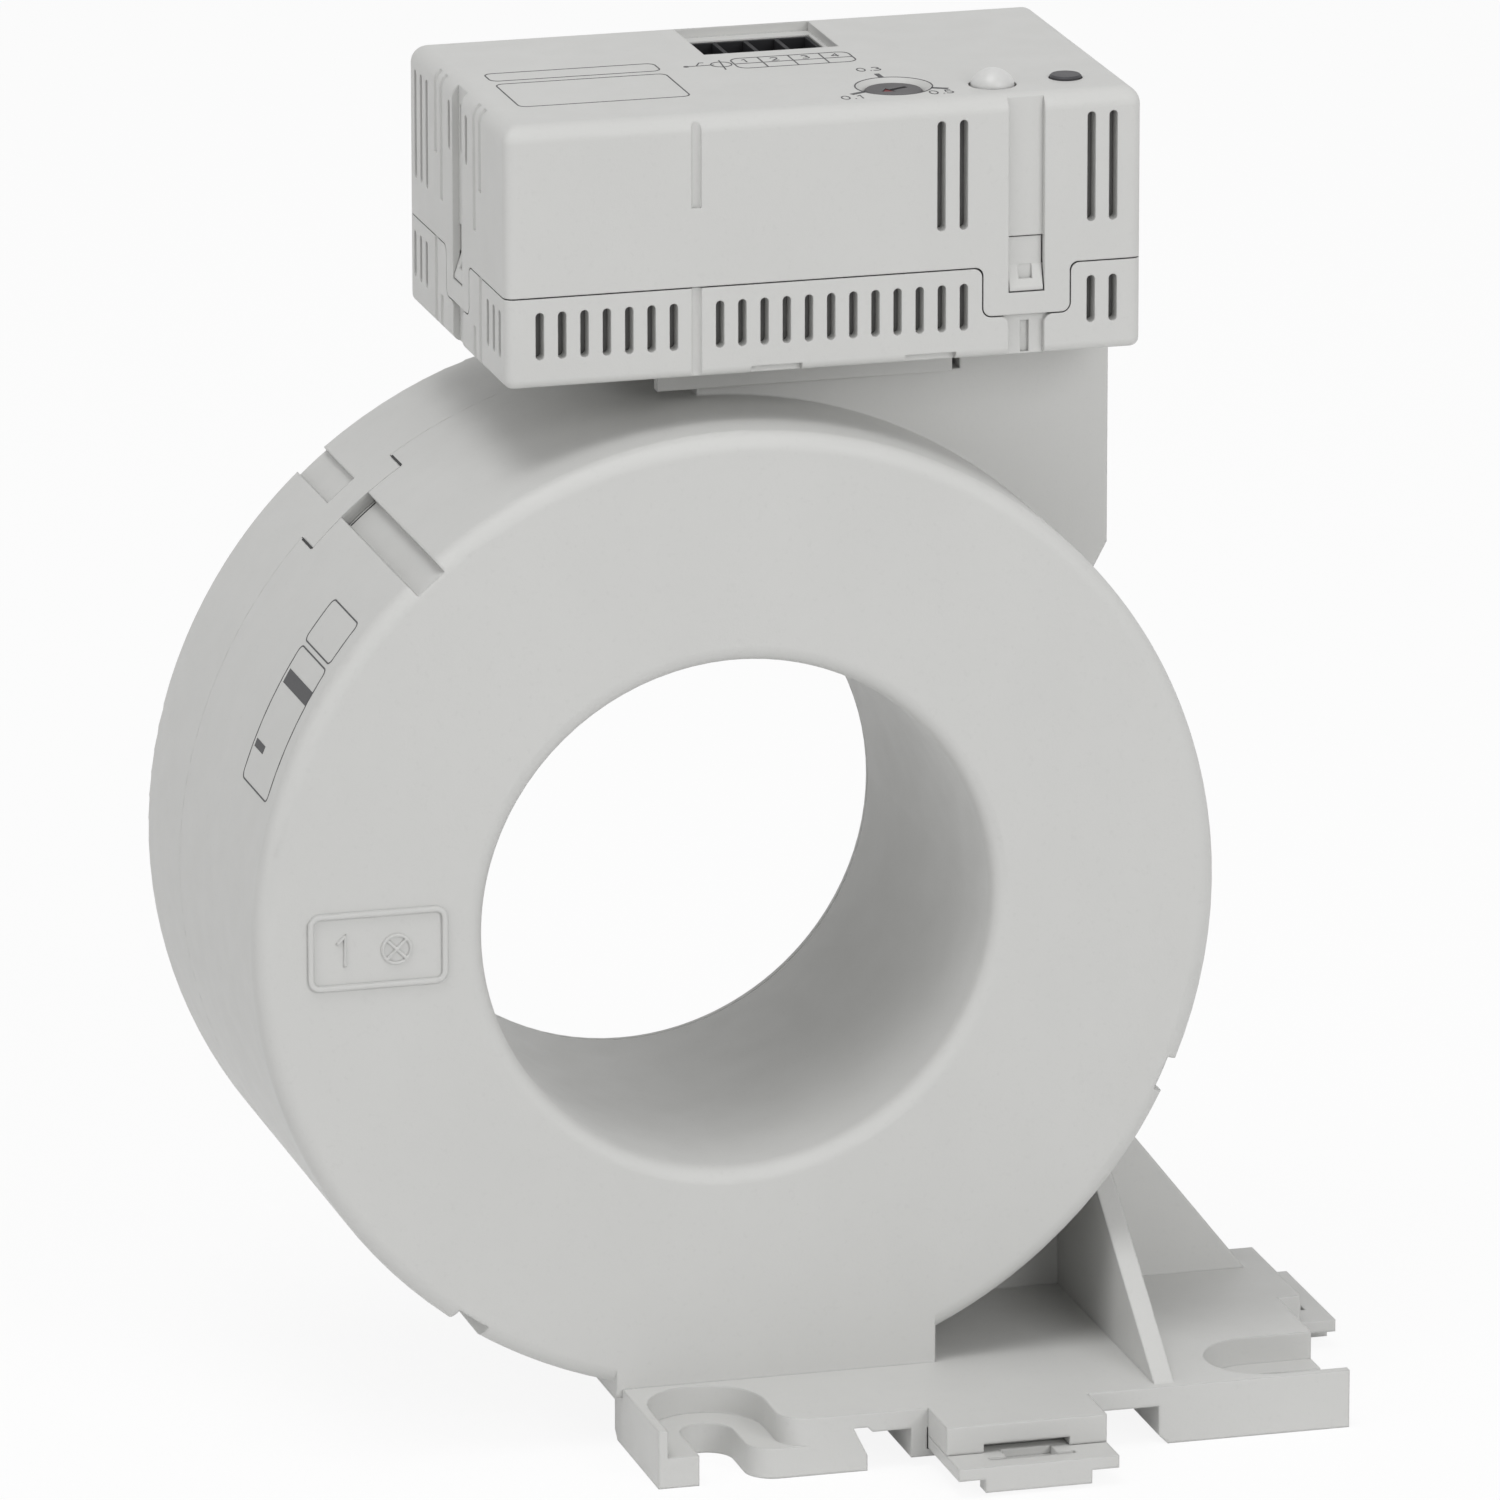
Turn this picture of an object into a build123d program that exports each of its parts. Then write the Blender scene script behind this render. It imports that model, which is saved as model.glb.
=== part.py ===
from build123d import *
import math
import os

# Toroidal current transformer for leakage current: a ring housing round a wound core,
# on a foot that grips a 35 mm rail or takes screws, with an electronics box on top.
# Millimetres. The origin is the centre of the cable bore, +Y is the bore's axis
# away from the marked face, +X is to the right of that face and +Z is up.

# Ring housing
bore_radius = 30.0
ring_width = 26.75
ring_depth = 54.5
ring_edge_round = 2.0
bore_edge_round = 1.9
face_wall = 2.4
rim_wall = 2.6
tube_wall = 2.1
seam_y = 9.6
seam_gap = 0.05
fit_gap = 0.1
lip_length = 7.5
lip_wall = 1.5
lip_root = 1.5
collar_length = 4.0
past = 1.0

# Snap tongues of the rear cover, by their angle from +X towards +Z
snap_angles = (130.6, 235.2, 335.6)
tongue_front_y = 4.5
tongue_lean = 0.5
tongue_width = 14.0
tongue_slit = 0.15
channel_width = 4.2
channel_depth = 1.5
pocket_depth = 1.0
pocket_front_y = 11.1

# Raised frame on the marked face
frame_x = -42.5
frame_z = -0.3
frame_length = 16.3
frame_height = 9.1
frame_line = 0.65
frame_round = 1.4
frame_relief = 0.35

# Neck and web
neck_left_x = -14.7
neck_right_x = 23.3
neck_height = 13.4
web_half_depth = 9.0
web_left_x = 0.0
web_foot_angle = 33.75
web_slope = 1.86
saddle_right_x = 31.2
saddle_rise = 1.05

# Foot
foot_left_x = -14.0
foot_right_x = 68.4
foot_front_y = -43.0
foot_back_y = 31.6
foot_sink = 1.35
foot_plate = 2.3
foot_height = 6.9
left_block_x = 10.7
rail_width = 35.0
rail_room = 1.4
cross_room = 0.5
cross_channel_y = -5.95
hook_undercut = 1.65
hook_ledge_height = 1.85
hook_roof = 0.6
hook_reach = 0.6
entry_chamfer = 1.1
slot_width = 6.2
slot_head_width = 13.6
slot_ledge_height = 3.6
slot_flare = 3.3
slot_wall = 1.1
slot_centre_inset = 8.1
rib_wall = 2.4
rib_x = 45.25
rib_y = -3.2
rib_height = 21.5
rib_bury = 3.6
rib_front_y = -41.8
rib_meets_ring_y = -11.1
rib_back_inset = 1.2
rib_end_inset = 0.3
rib_inner = (40.0, 20.4)
rib_root = 5.4
rib_shoulder = (46.9, 27.0)

# Rail clips and their guides
clip_width = 19.0
clip_thick = 1.45
clip_gap = 0.05
clip_side_gap = 0.15
clip_bite = 1.3
clip_centre_x = 27.4
clip_centre_y = -5.65
pad_thick = 1.0
guide_wall = 1.85
guide_height = 3.5
guide_lip = 1.5
front_platform_y = -50.6
front_clip_y = -55.6
side_platform_x = 71.3
side_clip_x = 75.6
lug_width = 12.6
lug_drop = 1.6
lug_length = 2.4
tool_slot_length = 10.2
tool_slot_width = 0.8
tool_well_length = 6.0
tool_well_width = 3.3
tool_slot_inset = 2.35
tool_floor = 0.5
nose_land = 0.4
nose_slope = 1.0

# Electronics box
box_left_x = -25.8
box_right_x = 48.9
box_half_depth = 21.9
box_height = 30.38
box_base_height = 10.5
box_seam_gap = 0.16
box_wall = 1.8
top_round = 2.0
side_round = 1.2
bottom_round = 1.0
lip_rise = 1.7
lip_thick = 0.9
latch_inset = 13.6
latch_y = -0.3
latch_half_width = 5.1
latch_drop = 5.7
latch_round = 1.0
latch_skin = 0.85
latch_channel_width = 4.25
latch_channel_depth = 0.8
latch_window_rise = 3.3
latch_window_drop = 3.15
latch_hook_drop = 0.1
latch_groove_half = 0.5
latch_groove_depth = 0.5
latch_groove_rise = (0.2, 3.9)
hook_side_gap = 0.15
hook_stem_back = 2.6
hook_stem_drop = 3.0
hook_nose_inset = 0.15
hook_nose_land = 0.4
hook_pocket_half = 0.8
hook_pocket_height = 1.6
hook_pocket_depth = 0.3
vent_width = 1.0
vent_pitch = 2.605
vent_foot = 3.3
vent_height = 5.5
high_vent_foot = 4.6
high_vent_height = 12.8
short_vent_height = 5.8
low_vent_insets = (4.0, 2.74, 5.99)
low_vent_counts = (7, 12, 2)
low_end_vent_insets = (7.9, 5.25, 2.6)
high_vent_insets = (23.68, 21.05, 5.98, 3.4)
high_end_vent_insets = (8.3, 5.7, 3.1)
short_end_vents = (3.3, 0.7, -1.9, -4.5)
notch_height = 0.9
notch_depth = 1.0
notch_half = 3.0
notch_places = (5.9, 24.0)
groove_radius = 0.6
groove_sink = 0.1
groove_x = -3.5
groove_rise = 9.2
end_groove_places = (9.5, -10.7)
end_groove_rise = 9.85
inner_groove_places = (6.9, -8.1)
inner_groove_rise = 4.8
inner_groove_height = 4.2
groove_curl_stop = 1.2

# Bracket under the box
bracket_height = 4.5
bracket_left_x = -4.9
bracket_right_x = 30.0
bracket_half_depth = 10.0
bracket_arm = 1.5
bracket_arm_length = 9.0
lead_x = 14.0
lead_hole_radius = 2.6
lead_radius = 0.5
lead_spacing = 2.6

# Wound core
winding_room = 2.25
winding_bore_room = 1.3
cushion_thick = 4.15
core_gap = 0.2
tray_wall = 1.0
winding_thick = 1.7
winding_gap_angle = 24.0
winding_gap_centre = 254.6
cushion_gap = 0.05
cushion_overhang = 2.5

# Circuit board and what it carries
board_height = 18.4
board_thick = 1.6
board_side_gap = 0.4
post_radius = 1.6
post_pin_radius = 1.0
post_inset = 3.6
post_pin_rise = 0.6
socket_inset = 35.9
socket_back_inset = 4.2
socket_length = 10.7
socket_poles = 4
socket_pitch = 3.7
socket_wall = 0.5
socket_drop = 1.25
socket_well = 7.0
socket_end_wall = 0.5
socket_key_thick = 0.35
socket_key_reach = 0.85
socket_key_inset = 1.0
socket_margin = 0.15
recess_gap = 0.2
recess_depth = 1.1
recess_side = 0.5
recess_back = 2.0
pin_side = 1.0
pin_inset = 2.0
pin_gap = 0.05
selector_inset = (27.05, 8.0)
selector_radius = 3.3
selector_hole_radius = 3.5
selector_rim_radius = 4.3
selector_drop = 1.0
selector_turn_gap = 0.15
selector_body = 9.4
selector_well_floor = 3.7
selector_lid_gap = 0.5
arrow_depth = 0.8
arrow_shaft = (-2.3, 1.4)
arrow_shaft_half = 0.35
arrow_tip = 2.6
arrow_head = 1.2
pointer_angle = 205.0
lens_inset = (16.0, 5.9)
lens_radius = 2.5
lens_rise = 2.2
lens_hole_gap = 0.25
lens_flange_reach = 0.9
lens_stem_radius = 1.7
led_height = 5.8
led_radius = 1.5
button_inset = (7.05, 6.9)
button_radius = 1.85
button_rise = 0.4
button_travel = 0.4
button_chamfer = 0.2
button_flange_reach = 0.8
button_foot = 5.65
flange_thick = 0.7
test_switch_half = 2.5
test_switch_height = 3.5
plunger_radius = 1.7
relay_x = (-16.0, 4.0)
relay_y = (-6.0, 4.0)
relay_height = 8.0
chip_x = (24.0, 34.0)
chip_y = (0.0, 10.0)
chip_height = 1.6
capacitor_x = (-16.0, -8.5)
capacitor_back_inset = 10.9
capacitor_radius = 3.1
capacitor_height = 7.5
connector_half_length = 4.0
connector_half_width = 2.5
connector_height = 4.7

# Places and sizes that follow from the ones above
ring_radius = bore_radius + ring_width
ring_front_y = -ring_depth / 2
ring_back_y = ring_depth / 2
cavity_radius = ring_radius - rim_wall
channel_radius = ring_radius - channel_depth
pocket_radius = ring_radius - pocket_depth
tube_radius = bore_radius + tube_wall
tube_end_y = ring_back_y - face_wall + seam_gap
lip_out = cavity_radius - fit_gap
lip_in = lip_out - lip_wall

foot_top_z = foot_sink - ring_radius
foot_bottom_z = foot_top_z - foot_height
roof_z = foot_top_z - foot_plate
hook_ledge_z = foot_bottom_z + hook_ledge_height
slot_head_z = foot_bottom_z + slot_ledge_height
right_block_x = left_block_x - hook_undercut + rail_width + rail_room
cross_front_y = cross_channel_y - (rail_width + cross_room) / 2
cross_back_y = cross_channel_y + (rail_width + cross_room) / 2
clip_top_z = roof_z - pad_thick - clip_gap

saddle_z = ring_radius + saddle_rise
box_bottom_z = saddle_z + bracket_height
box_top_z = box_bottom_z + box_height
box_seam_z = box_bottom_z + box_base_height
box_centre_x = (box_left_x + box_right_x) / 2
lid_under_z = box_top_z - box_wall
lip_inset = box_wall + fit_gap
latch_x = box_right_x - latch_inset
window_top_z = box_seam_z + latch_window_rise
window_low_z = box_seam_z - latch_window_drop
tab_low_z = box_seam_z - latch_drop
hook_stem_front = latch_skin + fit_gap
low_vent_z = (box_bottom_z + vent_foot, box_bottom_z + vent_foot + vent_height)
high_vent_z = (box_seam_z + high_vent_foot, box_seam_z + high_vent_foot + high_vent_height)
short_vent_z = (high_vent_z[1] - short_vent_height, high_vent_z[1])

case_gap = 2 * core_gap + tray_wall
core_outer_radius = cavity_radius - winding_room - winding_thick - case_gap
core_inner_radius = tube_radius + winding_bore_room + winding_thick + case_gap
winding_end = ring_depth / 2 - face_wall - cushion_thick - 2 * cushion_gap
core_half_depth = winding_end - winding_thick - case_gap

board_z = box_bottom_z + board_height
board_top_z = board_z + board_thick
socket_x = box_right_x - socket_inset
socket_half = socket_poles * socket_pitch / 2 + socket_margin
socket_back_y = box_half_depth - socket_back_inset
socket_front_y = socket_back_y - socket_length
pin_y = (socket_front_y + socket_back_y) / 2
selector_x = box_right_x - selector_inset[0]
selector_y = selector_inset[1] - box_half_depth
lens_x = box_right_x - lens_inset[0]
lens_y = lens_inset[1] - box_half_depth
button_x = box_right_x - button_inset[0]
button_y = button_inset[1] - box_half_depth


def block(x_range, y_range, z_range):
    """A box between two values on each axis."""
    size = [high - low for low, high in (x_range, y_range, z_range)]
    centre = [(high + low) / 2 for low, high in (x_range, y_range, z_range)]
    return Pos(*centre) * Box(*size)


def rod(x, y, z_range, radius):
    """A round rod along Z."""
    low, high = z_range
    return Pos(x, y, (low + high) / 2) * Cylinder(radius, high - low)


def outline(points, rounds=()):
    """A face through points, with some of its corners rounded."""
    face = make_face(Polyline(*points, close=True))
    for x, y, radius in rounds:
        corner = face.vertices().sort_by_distance((x, y, 0))[0]
        face = fillet(corner, radius)
    return face


def turned(points, rounds=()):
    """A ring round the bore's axis from a section in (radius, y)."""
    return revolve(outline(points, rounds), Axis.Y)


def ring_piece(radii, depths):
    """A plain ring round the bore's axis."""
    (r0, r1), (y0, y1) = radii, depths
    return turned([(r0, y0), (r1, y0), (r1, y1), (r0, y1)])


def turned_part(points, angle, width):
    """A section in (radius, y) turned about the bore's axis over a width at the ring's rim."""
    spread = math.degrees(width / ring_radius)
    piece = revolve(outline(points), Axis.Y, revolution_arc=spread)
    return Rot(0, -angle - spread / 2, 0) * piece


def sector(radii, depths, angle, width):
    """Part of a plain ring round the bore's axis, of a width at the ring's rim."""
    (r0, r1), (y0, y1) = radii, depths
    return turned_part([(r0, y0), (r1, y0), (r1, y1), (r0, y1)], angle, width)


def slab_y(points, y_range, rounds=()):
    """A plate with its outline in (x, z) between two depths."""
    low, high = y_range
    plane = Plane((0, high, 0), x_dir=(1, 0, 0), z_dir=(0, -1, 0))
    return extrude(plane * outline(points, rounds), amount=high - low)


def slab_x(points, x_range, rounds=()):
    """A plate with its outline in (y, z) between two values of x."""
    low, high = x_range
    return extrude(Plane.YZ.offset(low) * outline(points, rounds), amount=high - low)


def fixing_slot(flared):
    """A screw slot open towards -Y, with its centre at the origin: a wide head
    recess and a narrow way through, which may flare on the +X side of the mouth."""
    mouth_y = -slot_centre_inset
    parts = []
    for width, low, high in ((slot_head_width, slot_head_z, foot_top_z + past),
                             (slot_width, foot_bottom_z - past, slot_head_z + past)):
        half = width / 2
        run = block((-half, half), (mouth_y - past, 0), (low, high))
        corner = block((half - fit_gap, half + slot_flare), (mouth_y - past, mouth_y + slot_flare),
                       (low, high))
        corner = corner - rod(half + slot_flare, mouth_y + slot_flare, (low, high), slot_flare)
        parts += [run, rod(0, 0, (low, high), half)] + ([corner] if flared else [])
    return parts


def foot_solid():
    """The foot's plate, its two blocks, its rail channels, slots and ribs."""
    plate = block((foot_left_x, foot_right_x), (foot_front_y, foot_back_y), (roof_z, foot_top_z))
    left = block((foot_left_x, left_block_x), (foot_front_y, foot_back_y), (foot_bottom_z, foot_top_z))
    right = block((right_block_x, foot_right_x), (foot_front_y, foot_back_y), (foot_bottom_z, foot_top_z))
    foot = plate + left + right
    below = foot_bottom_z - past
    cross = slab_x([(cross_front_y, roof_z), (cross_front_y, foot_bottom_z + entry_chamfer),
                    (cross_front_y - entry_chamfer - past, below), (cross_back_y, below),
                    (cross_back_y, hook_ledge_z), (cross_back_y + hook_undercut, roof_z)],
                   (foot_left_x - past, foot_right_x + past))
    hook = slab_y([(left_block_x + hook_reach, roof_z),
                   (left_block_x + hook_reach - hook_roof, roof_z + hook_roof),
                   (left_block_x - hook_undercut, roof_z + hook_roof),
                   (left_block_x, hook_ledge_z), (left_block_x + hook_reach, hook_ledge_z)],
                  (foot_front_y - past, foot_back_y + past))
    entry = slab_y([(right_block_x - past, below), (right_block_x - past, foot_bottom_z + entry_chamfer),
                    (right_block_x, foot_bottom_z + entry_chamfer),
                    (right_block_x + entry_chamfer + past, below)],
                   (foot_front_y - past, foot_back_y + past))
    foot = foot - cross - hook - entry
    foot += block((clip_centre_x - clip_width / 2, clip_centre_x + clip_width / 2),
                  (front_platform_y, foot_front_y + past), (roof_z, foot_top_z))
    foot += block((foot_right_x - past, side_platform_x),
                  (clip_centre_y - clip_width / 2, clip_centre_y + clip_width / 2), (roof_z, foot_top_z))
    front_guides = clip_guides(front_platform_y, cross_front_y, foot_front_y)
    foot += Pos(clip_centre_x, 0, 0) * front_guides
    side_guides = clip_guides(-side_platform_x, -right_block_x, -foot_right_x)
    foot += Pos(0, clip_centre_y, 0) * Rot(0, 0, 90) * side_guides
    head_inset = slot_head_width / 2 + slot_wall
    slots = [(foot_left_x + head_inset, foot_front_y + slot_centre_inset, 0, True),
             (foot_right_x - slot_centre_inset, foot_front_y + head_inset, 90, False),
             (foot_right_x - head_inset, foot_back_y - slot_centre_inset, 180, True)]
    for x, y, turn, flared in slots:
        for piece in fixing_slot(flared):
            foot -= Pos(x, y, 0) * Rot(0, 0, turn) * piece
    return foot


def clip_guides(platform_y, inner_y, mouth_y):
    """The pad over a clip that slides along Y, with a rail at each side and lips below it."""
    half = clip_width / 2
    pad = block((-half, half), (platform_y, inner_y), (roof_z - pad_thick, roof_z))
    well = tool_slot_length / 2
    pad -= block((-well, well), (platform_y - past, platform_y + lug_length),
                 (roof_z - pad_thick - past, roof_z))
    low = roof_z - guide_height
    guides = pad
    for side in (-1, 1):
        inner = side * (half + clip_side_gap)
        outer = side * (half + clip_side_gap + guide_wall)
        edge = side * (half - guide_lip)
        wall = sorted((inner, outer))
        lip = sorted((edge, inner))
        guides += block(wall, (mouth_y, inner_y), (low, roof_z))
        guides += block(lip, (mouth_y, inner_y), (low, clip_top_z - clip_thick - clip_side_gap))
    return guides


def rib_solids():
    """The rib along the foot beside the neck, and the one across it."""
    base_z = foot_top_z - past
    top_z = foot_top_z + rib_height
    back_y = foot_back_y - rib_back_inset
    along = slab_x([(rib_front_y, base_z), (rib_front_y, foot_top_z), (rib_meets_ring_y, top_z),
                    (rib_meets_ring_y, top_z + rib_bury), (-rib_meets_ring_y, top_z + rib_bury),
                    (-rib_meets_ring_y, top_z), (back_y, foot_top_z), (back_y, base_z)],
                   (rib_x, rib_x + rib_wall))
    end_x = foot_right_x - rib_end_inset
    shoulder = (rib_shoulder[0], foot_top_z + rib_shoulder[1])
    inner = (rib_inner[0], foot_top_z + rib_inner[1])
    across = slab_y([(neck_right_x - past, base_z), (end_x, base_z), (end_x, foot_top_z), shoulder, inner,
                     (neck_right_x - past, foot_top_z + rib_root)], (rib_y, rib_y + rib_wall))
    return along + across


def web_solid():
    """The web from the ring's crown up to the box, with a low saddle for the bracket."""
    turn = math.radians(web_foot_angle)
    wall_middle = ring_radius - rim_wall / 2
    foot_x, foot_z = wall_middle * math.cos(turn), wall_middle * math.sin(turn)
    corner_z = foot_z + web_slope * (box_right_x - foot_x)
    points = [(web_left_x, wall_middle), (web_left_x, saddle_z), (saddle_right_x, saddle_z),
              (saddle_right_x, box_bottom_z - seam_gap), (box_right_x, box_bottom_z - seam_gap),
              (box_right_x, corner_z), (foot_x, foot_z)]
    return slab_y(points, (-web_half_depth, web_half_depth))


def mark_frame():
    """The raised frame on the marked face."""
    plane = Plane((frame_x, ring_front_y + past, frame_z), x_dir=(1, 0, 0), z_dir=(0, -1, 0))
    outer = RectangleRounded(frame_length, frame_height, frame_round)
    inner = RectangleRounded(frame_length - 2 * frame_line, frame_height - 2 * frame_line,
                             frame_round - frame_line)
    return extrude(plane * (outer - inner), amount=past + frame_relief)


def front_housing():
    """Ring shell, bore tube, neck, foot, ribs and web, moulded in one."""
    shell = turned([(bore_radius, ring_front_y), (ring_radius, ring_front_y),
                    (ring_radius, seam_y), (bore_radius, seam_y)],
                   [(ring_radius, ring_front_y, ring_edge_round),
                    (bore_radius, ring_front_y, bore_edge_round)])
    neck = block((neck_left_x, neck_right_x), (ring_front_y, seam_y),
                 (foot_top_z - past, foot_top_z + neck_height))
    body = shell + neck + foot_solid() + rib_solids() + web_solid()
    body -= ring_piece((tube_radius, cavity_radius), (ring_front_y + face_wall, seam_y + past))
    body -= ring_piece((bore_radius - past, ring_radius + 2 * fit_gap), (seam_y, foot_back_y + past))
    body += ring_piece((bore_radius, tube_radius), (seam_y - past, tube_end_y - seam_gap))
    for angle in snap_angles:
        body -= sector((cavity_radius - past, ring_radius + past), (tongue_front_y, seam_y + past), angle,
                       tongue_width)
        body -= sector((channel_radius, ring_radius + past), (ring_front_y - past, tongue_front_y + past),
                       angle, channel_width)
        body += sector((cavity_radius, channel_radius),
                       (tongue_front_y - past, tongue_front_y + tongue_lean - seam_gap), angle, channel_width)
    body -= rod(lead_x, 0, (core_outer_radius, saddle_z + past), lead_hole_radius)
    return body + mark_frame()


def rear_cover():
    """The ring's shallow rear shell, with a lip inside the front shell and three snap tongues."""
    collar_in = tube_radius + fit_gap
    collar_out = collar_in + lip_wall
    inner_y = ring_back_y - face_wall
    start_y = seam_y + seam_gap
    slope_y = seam_y + lip_root + cavity_radius - lip_in
    cover = turned([(bore_radius, tube_end_y), (bore_radius, ring_back_y), (ring_radius, ring_back_y),
                    (ring_radius, start_y), (lip_out, start_y), (lip_out, seam_y - lip_length),
                    (lip_in, seam_y - lip_length), (lip_in, seam_y + lip_root), (cavity_radius, slope_y),
                    (cavity_radius, inner_y), (collar_out, inner_y), (collar_out, inner_y - collar_length),
                    (collar_in, inner_y - collar_length), (collar_in, tube_end_y)],
                   [(ring_radius, ring_back_y, ring_edge_round), (bore_radius, ring_back_y, bore_edge_round)])
    for angle in snap_angles:
        cover += sector((lip_in + fit_gap, ring_radius), (tongue_front_y + seam_gap, seam_y + past), angle,
                        tongue_width - 2 * tongue_slit)
        under_y = tongue_front_y + tongue_lean
        cover -= turned_part([(lip_out, tongue_front_y), (ring_radius, tongue_front_y + seam_gap),
                              (channel_radius, under_y), (lip_out, under_y)],
                             angle, channel_width + 2 * tongue_slit)
        cover -= sector((pocket_radius, ring_radius + past), (pocket_front_y, ring_back_y + past),
                        angle, channel_width)
    return cover


def clip(front_y, inner_y):
    """A flat slider along Y that bites behind the rail, with a pull lug and a tool slot."""
    half = clip_width / 2
    low = clip_top_z - clip_thick
    nose_y = inner_y + clip_bite
    plate = slab_x([(front_y, low), (front_y, clip_top_z), (nose_y, clip_top_z),
                    (nose_y, clip_top_z - nose_land), (nose_y - nose_slope, low)], (-half, half))
    plate += block((-lug_width / 2, lug_width / 2), (front_y, front_y + lug_length), (low - lug_drop, low))
    slot_y = front_y + tool_slot_inset
    for length, width in ((tool_slot_length, tool_slot_width), (tool_well_length, tool_well_width)):
        plate -= block((-length / 2, length / 2), (slot_y, slot_y + width),
                       (low + tool_floor, clip_top_z + past))
    return plate


def rail_clip_front():
    """The clip that slides out at the front."""
    return Pos(clip_centre_x, 0, 0) * clip(front_clip_y, cross_front_y)


def rail_clip_side():
    """The clip that slides out at the right."""
    return Pos(0, clip_centre_y, 0) * Rot(0, 0, 90) * clip(-side_clip_x, -right_block_x)


def box_outer():
    """The whole outside of the electronics box, with its rounded edges."""
    body = block((box_left_x, box_right_x), (-box_half_depth, box_half_depth), (box_bottom_z, box_top_z))
    body = fillet(body.edges().filter_by(Axis.Z), side_round)
    body = fillet(body.faces().sort_by(Axis.Z)[-1].edges(), top_round)
    return fillet(body.faces().sort_by(Axis.Z)[0].edges(), bottom_round)


def latch_places():
    """Where each latch sits: a turn about Z and the distance and shift of its wall."""
    half_length = (box_right_x - box_left_x) / 2
    return [(0, box_half_depth, latch_x - box_centre_x), (180, box_half_depth, box_centre_x - latch_x),
            (90, half_length, latch_y), (270, half_length, -latch_y)]


def on_wall(piece, turn, distance, shift):
    """Puts a piece that was made at a front wall at y = 0 on one of the box's four walls."""
    return Pos(box_centre_x, 0, 0) * Rot(0, 0, turn) * Pos(shift, -distance, 0) * piece


def flared_slab(half, low, top, depth, rounds):
    """A plate in a front wall at y = 0 whose sides flare out at the top, with some heights rounded."""
    flare = latch_round + fit_gap
    points = [(-half - flare, top + past), (-half - flare, top), (-half, top), (-half, low), (half, low),
              (half, top), (half + flare, top), (half + flare, top + past)]
    return slab_y(points, (-past, depth), [(x, z, r) for x in (-half, half) for z, r in rounds])


def latch_tab(gap):
    """The lid's tab over a latch: the seam steps down round it."""
    top = box_seam_z + box_seam_gap / 2 - gap
    low = tab_low_z - gap
    return flared_slab(latch_half_width + gap, low, top, latch_skin + gap,
                       [(low, latch_round + gap), (top, latch_round)])


def latch_hook():
    """The base's spring hook, which shows through the window in the lid's tab."""
    half = latch_channel_width / 2 - hook_side_gap
    low = window_low_z + hook_side_gap
    top = box_seam_z - latch_hook_drop
    stem = block((-half, half), (hook_stem_front, hook_stem_back),
                 (low - hook_stem_drop, window_top_z - hook_side_gap))
    nose = slab_x([(hook_stem_front + fit_gap, low), (hook_nose_inset, low),
                   (hook_nose_inset, low + hook_nose_land), (hook_stem_front, top),
                   (hook_stem_front + fit_gap, top)], (-half, half))
    pocket = block((-hook_pocket_half, hook_pocket_half), (-past, hook_stem_front + hook_pocket_depth),
                   (top - hook_pocket_height, top))
    return stem + nose - pocket


def latch_channel():
    """The flared channel in the base below a latch, with a groove down its floor."""
    half = latch_channel_width / 2
    top = tab_low_z - box_seam_gap
    channel = flared_slab(half, box_bottom_z - past, top, latch_channel_depth, [(top, latch_round)])
    foot, head = latch_groove_rise
    groove = block((-latch_groove_half, latch_groove_half), (0, latch_channel_depth + latch_groove_depth),
                   (box_bottom_z + foot, box_bottom_z + head))
    return channel + groove


def end_grooves(places, z_range, curl):
    """Shallow upright grooves in both end walls, which may curl over the lid's edge."""
    half_length = (box_right_x - box_left_x) / 2
    low, high = z_range
    cuts = []
    for y in places:
        tool = rod(0, -groove_sink, (low, high), groove_radius)
        if curl:
            bend = Torus(top_round + groove_sink, groove_radius)
            quarter = block((-past, past), (-past, top_round - groove_curl_stop), (0, top_round + past))
            centre = Pos(0, top_round, box_top_z - top_round)
            tool += centre * ((Rot(0, 90, 0) * bend) & (Pos(0, -top_round, 0) * quarter))
        cuts += [on_wall(tool, 90, half_length, y), on_wall(tool, 270, half_length, -y)]
    return cuts


def vents(places, z_range, turn, distance):
    """Upright slots with round ends through one wall."""
    low, high = z_range
    cuts = []
    for shift in places:
        shape = Rot(0, 0, 90) * SlotOverall(high - low, vent_width)
        plane = Plane((shift, box_wall + past, (low + high) / 2), x_dir=(1, 0, 0), z_dir=(0, -1, 0))
        cuts.append(on_wall(extrude(plane * shape, amount=box_wall + 2 * past), turn, distance, 0))
    return cuts


def vent_cuts(z_range, front_places, side_places):
    """The same slots on the front and back walls, and on the two ends."""
    half_length = (box_right_x - box_left_x) / 2
    front = [x - box_centre_x for x in front_places]
    cuts = vents(front, z_range, 0, box_half_depth)
    cuts += vents([-x for x in front], z_range, 180, box_half_depth)
    cuts += vents(side_places, z_range, 90, half_length)
    cuts += vents([-y for y in side_places], z_range, 270, half_length)
    return cuts


def box_frame(inset, z_range):
    """A block that stands in from the box's four walls by an inset."""
    return block((box_left_x + inset, box_right_x - inset),
                 (inset - box_half_depth, box_half_depth - inset), z_range)


def box_cavity():
    """The inside of the electronics box."""
    return box_frame(box_wall, (box_bottom_z + box_wall, lid_under_z))


def post_places():
    """The four places where the board is held."""
    return [(x, y) for x in (box_left_x + post_inset, box_right_x - post_inset)
            for y in (post_inset - box_half_depth, box_half_depth - post_inset)]


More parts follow.
